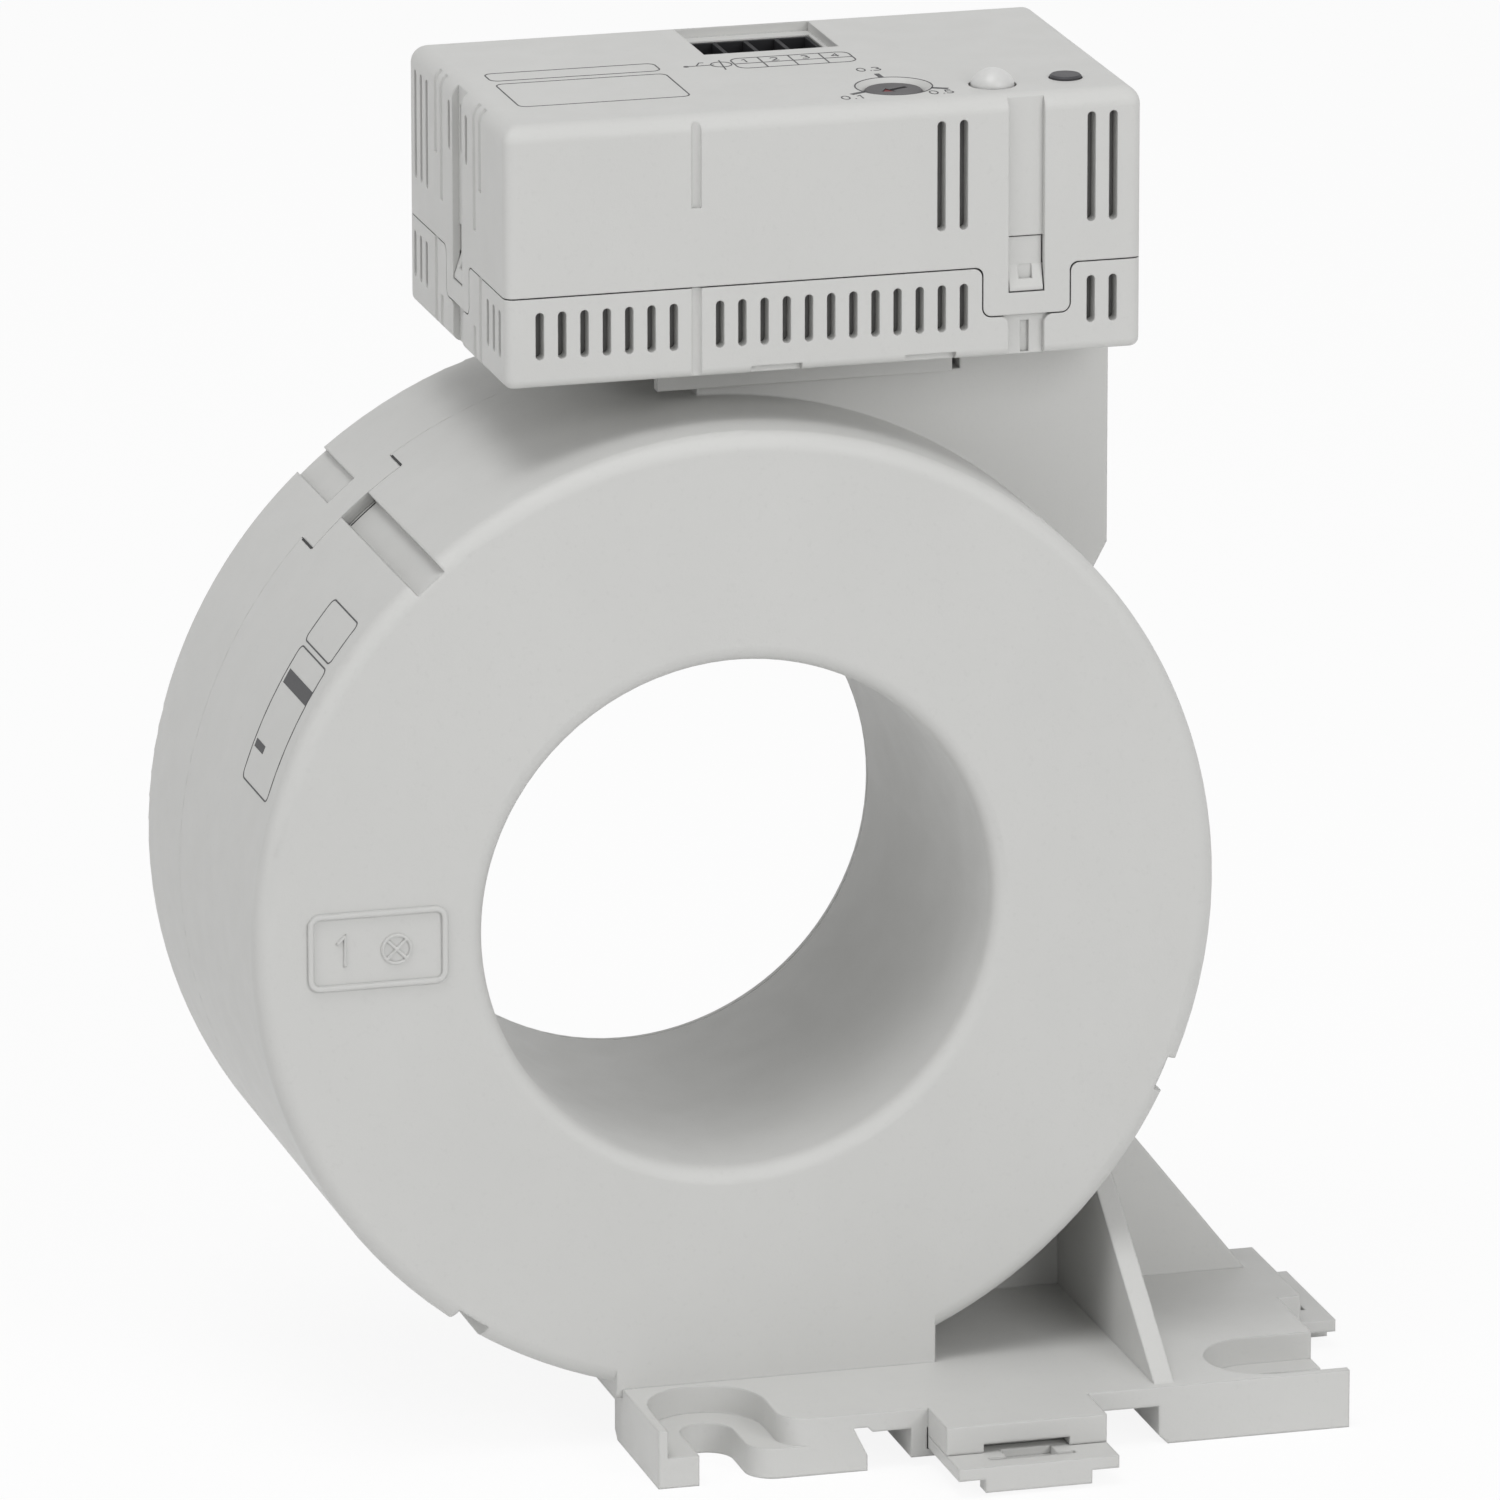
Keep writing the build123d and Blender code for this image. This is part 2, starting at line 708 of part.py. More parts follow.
def module_base():
    """The lower shell of the box, with board posts, latch hooks and vents."""
    low_half = box_frame(-past, (box_bottom_z - past, box_seam_z - box_seam_gap / 2))
    base = (box_outer() & low_half) - box_cavity()
    root_z = box_seam_z - box_wall
    lip = box_frame(lip_inset, (root_z, box_seam_z + lip_rise))
    ledge = box_frame(past, (root_z, root_z + past))
    base += (lip + ledge) - box_frame(lip_inset + lip_thick, (root_z - past, box_seam_z + lip_rise + past))
    for turn, distance, shift in latch_places():
        base -= on_wall(latch_tab(box_seam_gap), turn, distance, shift)
        base += on_wall(latch_hook(), turn, distance, shift)
        base -= on_wall(latch_channel(), turn, distance, shift)
    for x in notch_places:
        base -= block((x - notch_half, x + notch_half),
                      (-box_half_depth - past, notch_depth - box_half_depth),
                      (box_bottom_z - past, box_bottom_z + notch_height))
    left_inset, middle_inset, right_inset = low_vent_insets
    starts = (box_left_x + left_inset, groove_x + middle_inset, box_right_x - right_inset)
    front = [start + vent_pitch * i for start, count in zip(starts, low_vent_counts) for i in range(count)]
    ends = [side * (box_half_depth - inset) for side in (-1, 1) for inset in low_end_vent_insets]
    for cut in vent_cuts(low_vent_z, front, ends):
        base -= cut
    base -= rod(groove_x, -box_half_depth - groove_sink, (box_bottom_z - past, box_seam_z), groove_radius)
    for cut in end_grooves(end_groove_places, (box_bottom_z - past, box_seam_z), False):
        base -= cut
    short = (box_bottom_z - past, box_bottom_z + inner_groove_height)
    for cut in end_grooves(inner_groove_places, short, False):
        base -= cut
    for x, y in post_places():
        base += rod(x, y, (box_bottom_z + past, board_z), post_radius)
        base += rod(x, y, (board_z - past, board_top_z + post_pin_rise), post_pin_radius)
    return base - rod(lead_x, 0, (box_bottom_z - past, box_bottom_z + box_wall + past), lead_hole_radius)


def module_cover():
    """The lid of the box, with its openings for the socket, dial, lens and button."""
    high_half = box_frame(-past, (box_seam_z + box_seam_gap / 2, box_top_z + past))
    outer = box_outer()
    cover = (outer & high_half) - box_cavity()
    for turn, distance, shift in latch_places():
        cover += outer & on_wall(latch_tab(0), turn, distance, shift)
        channel = block((-latch_channel_width / 2, latch_channel_width / 2), (-past, latch_channel_depth),
                        (window_top_z, box_top_z + past))
        window = block((-latch_channel_width / 2, latch_channel_width / 2), (-past, box_wall + past),
                       (window_low_z, window_top_z))
        cover -= on_wall(channel, turn, distance, shift)
        cover -= on_wall(window, turn, distance, shift)
    high_vents = [box_right_x - inset for inset in high_vent_insets]
    high_end_vents = [box_half_depth - inset for inset in high_end_vent_insets]
    for cut in vent_cuts(high_vent_z, high_vents, high_end_vents):
        cover -= cut
    for cut in vent_cuts(short_vent_z, (), short_end_vents):
        cover -= cut
    cover -= rod(groove_x, -box_half_depth - groove_sink, (box_seam_z + groove_rise, box_top_z + past),
                 groove_radius)
    edge_z = box_top_z - top_round
    for places, rise in ((end_groove_places, end_groove_rise), (inner_groove_places, inner_groove_rise)):
        for cut in end_grooves(places, (box_seam_z + rise, edge_z), True):
            cover -= cut
    through = (lid_under_z - past, box_top_z + past)
    span = socket_half + recess_gap
    front_y, back_y = socket_front_y - recess_gap, socket_back_y + recess_gap
    cover -= block((socket_x - span, socket_x + span), (front_y, back_y), through)
    cover -= block((socket_x - span, socket_x + span + recess_side), (front_y, back_y + recess_back),
                   (box_top_z - recess_depth, box_top_z + past))
    cover -= rod(selector_x, selector_y, through, selector_hole_radius)
    rim_depth = selector_rim_radius - selector_hole_radius
    cover -= Pos(selector_x, selector_y, box_top_z - rim_depth / 2) * Cone(
        selector_hole_radius, selector_rim_radius, rim_depth)
    cover -= rod(lens_x, lens_y, through, lens_radius + lens_hole_gap)
    return cover - rod(button_x, button_y, through, button_radius + fit_gap)


def module_bracket():
    """The rail between the ring's crown and the box, with an open left end between two arms
    and the way through for the leads."""
    bar = block((bracket_left_x, bracket_right_x), (-bracket_half_depth, bracket_half_depth),
                (saddle_z, box_bottom_z))
    inner = bracket_half_depth - bracket_arm
    bar -= block((bracket_left_x - past, bracket_left_x + bracket_arm_length), (-inner, inner),
                 (saddle_z - past, box_bottom_z + past))
    return bar - rod(lead_x, 0, (saddle_z - past, box_bottom_z + past), lead_hole_radius)


def magnetic_core():
    """The strip-wound core."""
    return ring_piece((core_inner_radius, core_outer_radius), (-core_half_depth, core_half_depth))


def core_tray():
    """The insulating tray that the core lies in."""
    inner, outer = core_inner_radius - core_gap, core_outer_radius + core_gap
    end = core_half_depth + core_gap
    return turned([(inner - tray_wall, -end - tray_wall), (outer + tray_wall, -end - tray_wall),
                   (outer + tray_wall, end), (outer, end), (outer, -end), (inner, -end),
                   (inner, end), (inner - tray_wall, end)])


def core_lid():
    """The tray's flat lid."""
    end = core_half_depth + core_gap
    inner, outer = core_inner_radius - core_gap, core_outer_radius + core_gap
    return ring_piece((inner - tray_wall, outer + tray_wall), (end + seam_gap, end + tray_wall))


def secondary_winding():
    """The coil round the cased core, with a gap between its first and last turns."""
    inner = core_inner_radius - case_gap
    outer = core_outer_radius + case_gap
    end = core_half_depth + case_gap
    thick = winding_thick
    section = outline([(inner - thick, -end - thick), (outer + thick, -end - thick),
                       (outer + thick, end + thick), (inner - thick, end + thick)])
    section -= outline([(inner, -end), (outer, -end), (outer, end), (inner, end)])
    coil = revolve(section, Axis.Y, revolution_arc=360 - winding_gap_angle)
    return Rot(0, winding_gap_angle / 2 - winding_gap_centre, 0) * coil


def cushion(y_range):
    """A foam ring between the winding and the housing."""
    return ring_piece((core_inner_radius - cushion_overhang, core_outer_radius + cushion_overhang), y_range)


def winding_leads():
    """The two leads, straight up from the winding to the board's connector."""
    reach = core_outer_radius + case_gap + winding_thick
    leads = []
    for side in (-1, 1):
        x = lead_x + side * lead_spacing / 2
        start = math.sqrt(reach ** 2 - (x - lead_radius) ** 2) + core_gap
        leads.append(rod(x, 0, (start, board_z - connector_height), lead_radius))
    return leads[0] + leads[1]


def circuit_board():
    """The board, on the base's four posts."""
    board = box_frame(box_wall + board_side_gap, (board_z, board_top_z))
    for x, y in post_places():
        board -= rod(x, y, (board_z - past, board_top_z + past), post_pin_radius + fit_gap)
    return board


def pole_places():
    """The x of each pole of the socket."""
    return [socket_x + socket_pitch * (i - (socket_poles - 1) / 2) for i in range(socket_poles)]


def terminal_socket():
    """The four-pole socket, open at the top, with a keyed wall between its wells."""
    top = box_top_z - socket_drop
    body = block((socket_x - socket_half, socket_x + socket_half), (socket_front_y, socket_back_y),
                 (board_top_z, top))
    reach = (socket_pitch - socket_wall) / 2
    hole = pin_side / 2 + pin_gap
    key_y = socket_front_y + socket_key_inset
    for x in pole_places():
        well = block((x - reach, x + reach),
                     (socket_front_y + socket_end_wall, socket_back_y - socket_end_wall),
                     (top - socket_well, top + past))
        for side in (-1, 1):
            wing = sorted((x + side * reach, x + side * (reach - socket_key_reach)))
            well -= block(wing, (key_y, key_y + socket_key_thick), (top - socket_well, top + past))
        body -= well
        body -= block((x - hole, x + hole), (pin_y - hole, pin_y + hole), (board_top_z - past, top))
    return body


def terminal_pins():
    """The socket's four pins, standing on the board."""
    half = pin_side / 2
    pins = [block((x - half, x + half), (pin_y - half, pin_y + half),
                  (board_top_z, box_top_z - socket_drop - pin_inset)) for x in pole_places()]
    return pins[0] + pins[1] + pins[2] + pins[3]


def selector_switch():
    """The rotary switch's body on the board, with a round well for its dial."""
    half = selector_body / 2
    body = block((selector_x - half, selector_x + half), (selector_y - half, selector_y + half),
                 (board_top_z, lid_under_z - selector_lid_gap))
    return body - rod(selector_x, selector_y, (board_top_z + selector_well_floor, box_top_z),
                      selector_radius + selector_turn_gap)


def selector_dial():
    """The dial, with an arrow-shaped tool slot in its face."""
    top = box_top_z - selector_drop
    floor = top - arrow_depth
    dial = rod(0, 0, (board_top_z + selector_well_floor + seam_gap, top), selector_radius)
    shaft = block(arrow_shaft, (-arrow_shaft_half, arrow_shaft_half), (floor, top + past))
    arrow = outline([(arrow_tip, 0.0), (arrow_head, arrow_head), (arrow_head, -arrow_head)])
    head = extrude(Plane.XY.offset(floor) * arrow, amount=arrow_depth + past)
    return Pos(selector_x, selector_y, 0) * Rot(0, 0, pointer_angle) * (dial - shaft - head)


def status_lens():
    """The domed light guide, held under the lid by its flange."""
    flange_top = lid_under_z - seam_gap
    shoulder = box_top_z + lens_rise - lens_radius
    flange = rod(0, 0, (flange_top - flange_thick, flange_top), lens_radius + lens_flange_reach)
    stem = rod(0, 0, (board_top_z + led_height + core_gap, flange_top), lens_stem_radius)
    collar = rod(0, 0, (flange_top - seam_gap, shoulder), lens_radius)
    dome = Pos(0, 0, shoulder) * Sphere(lens_radius)
    dome &= rod(0, 0, (shoulder, shoulder + lens_radius + past), lens_radius + past)
    return Pos(lens_x, lens_y, 0) * (flange + stem + collar + dome)


def status_led():
    """The lamp under the lens."""
    return rod(lens_x, lens_y, (board_top_z, board_top_z + led_height), led_radius)


def test_button():
    """The push cap, with a flange that stops it under the lid."""
    flange_top = lid_under_z - seam_gap
    cap = rod(0, 0, (board_top_z + button_foot, box_top_z + button_rise), button_radius)
    cap = chamfer(cap.faces().sort_by(Axis.Z)[-1].edges(), button_chamfer)
    flange = rod(0, 0, (flange_top - flange_thick, flange_top), button_radius + button_flange_reach)
    return Pos(button_x, button_y, 0) * (cap + flange)


def test_switch():
    """The small push switch under the cap."""
    half = test_switch_half
    body = block((button_x - half, button_x + half), (button_y - half, button_y + half),
                 (board_top_z, board_top_z + test_switch_height))
    plunger_top = board_top_z + button_foot - button_travel - seam_gap
    return body + rod(button_x, button_y, (board_top_z + past, plunger_top), plunger_radius)


def output_relay():
    """The relay of the alarm output."""
    return block(relay_x, relay_y, (board_top_z, board_top_z + relay_height))


def control_chip():
    """The controller, under the board."""
    return block(chip_x, chip_y, (board_z - chip_height, board_z))


def smoothing_capacitors():
    """The two supply capacitors."""
    y = box_half_depth - capacitor_back_inset
    cans = [rod(x, y, (board_top_z, board_top_z + capacitor_height), capacitor_radius) for x in capacitor_x]
    return cans[0] + cans[1]


def lead_connector():
    """The connector that takes the winding's leads, under the board."""
    return block((lead_x - connector_half_length, lead_x + connector_half_length),
                 (-connector_half_width, connector_half_width), (board_z - connector_height, board_z))


cushion_front = (ring_front_y + face_wall + cushion_gap, -winding_end - cushion_gap)
cushion_rear = (winding_end + cushion_gap, ring_back_y - face_wall - cushion_gap)
sub_parts = {
    "front_housing": front_housing(),
    "rear_cover": rear_cover(),
    "rail_clip_front": rail_clip_front(),
    "rail_clip_side": rail_clip_side(),
    "module_bracket": module_bracket(),
    "module_base": module_base(),
    "module_cover": module_cover(),
    "magnetic_core": magnetic_core(),
    "core_tray": core_tray(),
    "core_lid": core_lid(),
    "secondary_winding": secondary_winding(),
    "front_cushion": cushion(cushion_front),
    "rear_cushion": cushion(cushion_rear),
    "winding_leads": winding_leads(),
    "lead_connector": lead_connector(),
    "circuit_board": circuit_board(),
    "terminal_socket": terminal_socket(),
    "terminal_pins": terminal_pins(),
    "selector_switch": selector_switch(),
    "selector_dial": selector_dial(),
    "status_lens": status_lens(),
    "status_led": status_led(),
    "test_button": test_button(),
    "test_switch": test_switch(),
    "output_relay": output_relay(),
    "control_chip": control_chip(),
    "smoothing_capacitors": smoothing_capacitors(),
}

os.makedirs("parts", exist_ok=True)
for name, shape in sub_parts.items():
    shape.label = name
    export_step(shape, f"parts/{name}.step")
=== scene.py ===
import math

import bpy
import numpy as np
from mathutils import Matrix, Vector


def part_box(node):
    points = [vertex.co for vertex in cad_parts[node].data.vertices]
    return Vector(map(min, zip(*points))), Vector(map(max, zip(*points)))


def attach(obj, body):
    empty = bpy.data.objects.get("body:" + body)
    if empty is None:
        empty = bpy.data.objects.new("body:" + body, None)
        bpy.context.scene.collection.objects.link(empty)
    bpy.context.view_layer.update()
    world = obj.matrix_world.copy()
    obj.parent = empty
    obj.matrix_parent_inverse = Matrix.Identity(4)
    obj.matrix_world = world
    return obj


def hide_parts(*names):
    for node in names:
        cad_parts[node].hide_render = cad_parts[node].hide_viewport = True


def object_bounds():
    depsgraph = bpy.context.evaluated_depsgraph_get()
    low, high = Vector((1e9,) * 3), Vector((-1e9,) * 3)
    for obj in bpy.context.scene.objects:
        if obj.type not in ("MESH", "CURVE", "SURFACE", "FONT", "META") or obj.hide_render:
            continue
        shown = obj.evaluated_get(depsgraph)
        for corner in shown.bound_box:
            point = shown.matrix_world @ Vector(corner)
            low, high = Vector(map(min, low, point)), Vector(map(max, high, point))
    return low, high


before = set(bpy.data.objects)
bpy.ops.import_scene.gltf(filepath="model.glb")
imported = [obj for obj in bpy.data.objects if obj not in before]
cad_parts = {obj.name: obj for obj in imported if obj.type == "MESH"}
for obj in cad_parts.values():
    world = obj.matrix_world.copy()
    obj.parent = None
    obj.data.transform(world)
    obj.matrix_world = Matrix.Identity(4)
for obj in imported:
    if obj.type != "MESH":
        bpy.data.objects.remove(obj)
cad_low, cad_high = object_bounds()
MM = 0.001

# Toroidal current transformer: the finishes of its solids, the print, marks and small parts
# that the solids leave out, painted shade behind the vents and in the tongues' slits, and a white studio.
# Sizes and places are in millimetres.

# Surfaces that carry print or raised marks, and the ring's seam behind them.
TOP_FACE_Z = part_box("module_cover")[1].z / MM
LID_UNDER_Z = TOP_FACE_Z - 1.8
RING_RADIUS = 56.75
RING_FRONT_Y = -27.25
RING_SEAM_Y = 9.6

# Ink: how high it stands, how far it is sunk, and the width of a plain line.
INK_HEIGHT = 0.03
INK_SUNK = 0.02
LINE = 0.16

# Print on the lid: two frames on the left, and the terminal table with its rows and columns.
LID_FRAMES = (((-21.5, 0.5), (-1.5, 4.25)), ((-21.5, -12.4), (-1.5, -1.0)))
LID_FRAME_ROUND = 1.0
TABLE = ((7.35, -0.95), (21.35, 4.0))
TABLE_ROUND = 1.2
TABLE_MIDDLE_Y = 1.4
TABLE_COLUMNS_X = (10.75, 14.35, 18.0)
POLES_X = (8.9, 12.4, 16.05, 19.55)
POLE_FIGURE_HEIGHT = 1.4
POLE_FIGURE_START = (-0.4, 0.55)

# A degree's length along the rim, and the rim's own units (degrees, y) in millimetres.
DEGREE = math.radians(1.0) * RING_RADIUS
RIM_SCALE = (DEGREE, 1.0)

# Print on the rim, as (angle, y): two frames, and a bar and a patch in the second one.
RIM_FRAMES = (((139.75, -22.8), (145.5, -11.5)), ((146.2, -23.0), (163.0, -11.6)))
RIM_FRAME_ROUND = 0.8
RIM_LINE = 0.17
RIM_BARS = ((150.05, (-22.85, -12.4), 1.75), (158.55, (-16.1, -12.35), 0.95))

# The snap tongues: their angles, half width and depth range, and the channel before each.
SNAP_ANGLES = (130.6, 235.2, 335.6)
TONGUE_HALF = 7.0
TONGUE_Y = (4.7, 9.1)
CHANNEL_HALF = 2.0
CHANNEL_END_Y = 4.3
CHANNEL_DEPTH = 1.5
SLIT = 0.3

# The raised mark in the side frame: a bead's width, height and sunk part, and both signs.
BEAD = (0.42, 0.3, 0.1)
SIDE_FIGURE = ((-47.6, -2.1), 3.5)
SIDE_RING = ((-40.3, -0.5), 1.65)

# The selector: its centre, its three stops with their figures, its pointer's heading, and
# the printed ring with the bars at the stops.
SELECTOR = (21.85, -13.9)
STOPS = ((92.0, "0.3", (20.0, -6.0)), (205.0, "0.1", (14.6, -18.75)), (-27.0, "0.5", (24.9, -18.9)))
POINTER_ANGLE = STOPS[1][0]
STOP_FIGURE_HEIGHT = 1.55
SCALE_RADIUS = 4.4
SCALE_LINE = 0.18
BAR_END = 6.3
BAR_WIDTH = 0.6

# The dial, its bevel (inwards and down), its arrow slot, and the pointer on the slot's floor.
DIAL_RADIUS = 3.3
DIAL_TOP_Z = TOP_FACE_Z - 0.37
DIAL_BEVEL = (0.15, 0.12)
ARROW_FLOOR_Z = DIAL_TOP_Z - 0.22
ARROW = np.array([(1.75, 0.0), (0.4, 0.95), (0.4, 0.32), (-1.9, 0.32),
                  (-1.9, -0.32), (0.4, -0.32), (0.4, -0.95)])
ARROW_POLE = np.array([0.55, 0.0])
POINTER_TIP = (np.array([(1.7, 0.0), (0.42, 0.9), (0.42, -0.9)]), 0.12)
POINTER_SHAFT = (np.array([(0.42, 0.3), (-1.88, 0.3), (-1.88, -0.3), (0.42, -0.3)]), 0.08)

# The inside of the electronics box, and the dark cards of painted shade that stand behind its vents: their
# gap to the wall and thickness, and their reach behind the low vents and the high ones.
BOX_INSIDE = ((-24.0, -20.1), (47.1, 20.1))
CARD_GAP = 0.01
CARD_THICK = 0.14
LOW_CARD_Z = (64.2, 70.9)
LOW_CARD_ON_SIDES = ((-23.9, 29.6), (41.0, 47.0))
LOW_CARD_ON_ENDS = ((-19.9, -5.9), (5.3, 19.9))
HIGH_CARD_Z = (77.0, 90.7)

# The light guide: its centre, its dome's radius and rise, its flange's radius and thickness
# and how far that hangs under the lid, and its stem.
LENS = (32.9, -16.0)
LENS_RADIUS = 2.5
LENS_RISE = 1.95
LENS_FLANGE = (3.4, 0.7)
LENS_GAP = 0.05
LENS_STEM_RADIUS = 1.7

# Inside the box: the leads' middle, and the two capacitors' middle, half pitch and depth,
# the radius of their bare top, where their stripe starts, and half the pressed cross's line.
LEADS_X = 14.0
CANS_X = -12.25
CANS_HALF_PITCH = 3.75
CANS_Y = 11.0
CAN_TOP_RADIUS = 2.5
CAN_STRIPE_START = 2.6
CAN_CROSS_HALF = 0.12


# Places on the object.

def on_top_face(points, height):
    """(x, y) in mm and a height above the box's top face, as (x, y, z)."""
    return np.column_stack([points[:, 0], points[:, 1], TOP_FACE_Z + height])


def on_ring_front(points, height):
    """(x, z) in mm and a height in front of the ring's marked face, as (x, y, z)."""
    return np.column_stack([points[:, 0], RING_FRONT_Y - height, points[:, 1]])


def on_ring_rim(points, height):
    """(angle in degrees from +X towards +Z, y) and a height above the rim:
    x = (R + h) cos a, z = (R + h) sin a."""
    angle = np.radians(points[:, 0])
    radius = RING_RADIUS + height
    return np.column_stack([radius * np.cos(angle), points[:, 1], radius * np.sin(angle)])


def on_dial(points, z):
    """(x, y) in mm along and across the pointer, turned to its heading about the
    selector's centre, at a height z."""
    turn = math.radians(POINTER_ANGLE)
    c, s = math.cos(turn), math.sin(turn)
    x = SELECTOR[0] + c * points[:, 0] - s * points[:, 1]
    y = SELECTOR[1] + s * points[:, 0] + c * points[:, 1]
    return np.column_stack([x, y, np.broadcast_to(z, x.shape)])


def in_arrow_slot(points, height):
    """Places on the dial, with the height counted from the arrow slot's floor."""
    return on_dial(points, ARROW_FLOOR_Z + height)


def on_channel_floor(points, height):
    """Places on the rim, lowered to the floor of a snap tongue's channel."""
    return on_ring_rim(points, height - CHANNEL_DEPTH)


def at_height(points, z):
    """(x, y) in mm at a height z."""
    return np.column_stack([points, np.broadcast_to(z, len(points))])


# Lines in the plane.

def run(points, step=None, closed=False):
    """A path through points; with a step, it is divided so that no part is longer."""
    path = np.asarray(points, float)
    if step is None:
        return path
    loop = np.vstack([path, path[:1]]) if closed else path
    length = np.hypot(*np.diff(loop, axis=0).T)
    along = np.concatenate([[0.0], np.cumsum(length)])
    stops = np.unique(np.concatenate([along, np.arange(0.0, along[-1], step)]))
    if closed:
        stops = stops[:-1]
    return np.column_stack([np.interp(stops, along, loop[:, k]) for k in (0, 1)])


def arc(centre, radii, first, last, count=24):
    """Points of an ellipse's arc: centre + (rx cos t, ry sin t), t in degrees."""
    t = np.radians(np.linspace(first, last, count))
    return np.column_stack([centre[0] + radii[0] * np.cos(t), centre[1] + radii[1] * np.sin(t)])


def rounded_frame(low, high, radii, count=7):
    """A closed rectangle whose four corners are quarter ellipses of the given radii."""
    (x0, y0), (x1, y1), (rx, ry) = low, high, radii
    corners = [((x1 - rx, y1 - ry), 0), ((x0 + rx, y1 - ry), 90),
               ((x0 + rx, y0 + ry), 180), ((x1 - rx, y0 + ry), 270)]
    return np.vstack([arc(centre, radii, start, start + 90, count) for centre, start in corners])


# Closed surfaces from a section carried along a path.

FLAT_SECTION = np.array([(-0.5, 0.0), (0.5, 0.0), (0.5, 1.0), (-0.5, 1.0)])
BEAD_SECTION = np.column_stack([
    np.concatenate([[-0.5, 0.5], 0.5 * np.cos(np.radians(np.arange(0, 181, 22.5)))]),
    np.concatenate([[-0.25, -0.25], np.sin(np.radians(np.arange(0, 181, 22.5)))])])


def carried(path, section, width, height, place, sunk, closed=False, scale=(1.0, 1.0)):
    """Surface(s, t) = path(s) + width * a(t) * across(s), at a height b(t) * height - sunk.
    across(s) is the path's normal, lengthened at a bend so that both sides meet there;
    scale turns the path's own units to millimetres while that normal is worked out."""
    flat = path * scale
    ahead = np.roll(flat, -1, axis=0) - flat
    behind = flat - np.roll(flat, 1, axis=0)
    if not closed:
        ahead[-1], behind[0] = behind[-1], ahead[0]
    ahead /= np.linalg.norm(ahead, axis=1, keepdims=True)
    behind /= np.linalg.norm(behind, axis=1, keepdims=True)
    tangent = ahead + behind
    tangent /= np.linalg.norm(tangent, axis=1, keepdims=True)
    across = np.column_stack([-tangent[:, 1], tangent[:, 0]])
    lean = np.maximum((across * np.column_stack([-ahead[:, 1], ahead[:, 0]])).sum(axis=1), 0.5)
    across /= lean[:, None]
    count, around = len(path), len(section)
    grid = flat[:, None, :] + width * section[None, :, :1] * across[:, None, :]
    rise = np.broadcast_to(section[:, 1] * height, (count, around)).copy()
    rise[:, :2] = -sunk
    points = place((grid / scale).reshape(-1, 2), rise.reshape(-1))
    i = np.arange(count if closed else count - 1)[:, None]
    j = np.arange(around)[None, :]
    here, following = i * around, ((i + 1) % count) * around
    quads = np.stack([here + j, here + (j + 1) % around, following + (j + 1) % around, following + j],
                     axis=-1).reshape(-1, 4)
    faces = quads.tolist()
    if not closed:
        faces += [list(range(around - 1, -1, -1)),
                  list(range((count - 1) * around, count * around))]
    return points, faces


def prism(outline, low, high, place):
    """A flat plate: the outline at two heights, its sides, and a face over each."""
    count = len(outline)
    flat = np.vstack([outline, outline])
    rise = np.concatenate([np.full(count, low), np.full(count, high)])
    i = np.arange(count)
    sides = np.column_stack([i, (i + 1) % count, (i + 1) % count + count, i + count]).tolist()
    faces = sides + [list(range(count - 1, -1, -1)), list(range(count, 2 * count))]
    return place(flat, rise), faces


def stacked(rings):
    """A closed surface through rings of equally many points, with a face over each end."""
    count = rings.shape[1]
    i, j = np.arange(len(rings) - 1)[:, None] * count, np.arange(count)[None, :]
    following = (j + 1) % count
    quads = np.stack([i + j, i + following, i + count + following, i + count + j], axis=-1).reshape(-1, 4)
    last = (len(rings) - 1) * count
    faces = quads.tolist() + [list(range(count - 1, -1, -1)), list(range(last, last + count))]
    return rings.reshape(-1, 3), faces


def turned(profile, centre, count=72):
    """Point(k, t) = centre + (r_k cos t, r_k sin t), at the height z_k of a profile (r, z)."""
    t = np.linspace(0.0, 2 * math.pi, count, endpoint=False)
    r, z = np.asarray(profile, float).T
    rings = np.stack([centre[0] + r[:, None] * np.cos(t), centre[1] + r[:, None] * np.sin(t),
                      np.broadcast_to(z[:, None], (len(z), count))], axis=-1)
    return stacked(rings)


def reach(pole, heading, outline):
    """How far each ray from a pole goes until it meets a closed outline."""
    a, b = outline - pole, np.roll(outline, -1, axis=0) - outline
    d = np.column_stack([np.cos(heading), np.sin(heading)])[:, None, :]
    across = d[..., 0] * b[:, 1] - d[..., 1] * b[:, 0]
    across = np.where(np.abs(across) < 1e-12, 1e-12, across)
    along = (a[:, 0] * b[:, 1] - a[:, 1] * b[:, 0]) / across
    share = (a[:, 0] * d[..., 1] - a[:, 1] * d[..., 0]) / across
    hit = (share > -1e-7) & (share < 1 + 1e-7) & (along > 0)
    return np.where(hit, along, np.inf).min(axis=1)


def outward(points, faces):
    """The faces, turned over if they enclose a negative volume."""
    volume = 0.0
    for face in faces:
        a = points[face[0]]
        b, c = points[face[1:-1]], points[face[2:]]
        volume += np.einsum("j,ij->", a, np.cross(b, c))
    return faces if volume > 0 else [face[::-1] for face in faces]


def piece(name, parts, body, material, smooth=False):
    """One object from several closed surfaces, in metres, riding on a body."""
    points, faces, start = [], [], 0
    for part_points, part_faces in parts:
        part_faces = outward(part_points, part_faces)
        faces += [[index + start for index in face] for face in part_faces]
        points.append(part_points)
        start += len(part_points)
    mesh = bpy.data.meshes.new(name)
    mesh.from_pydata((np.vstack(points) * MM).tolist(), [], faces)
    mesh.polygons.foreach_set("use_smooth", np.full(len(faces), smooth))
    mesh.update()
    obj = bpy.data.objects.new(name, mesh)
    bpy.context.scene.collection.objects.link(obj)
    mesh.materials.append(material)
    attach(obj, body)
    return obj


# Figures drawn with strokes, in a cell that is 0.6 wide and 1 high.

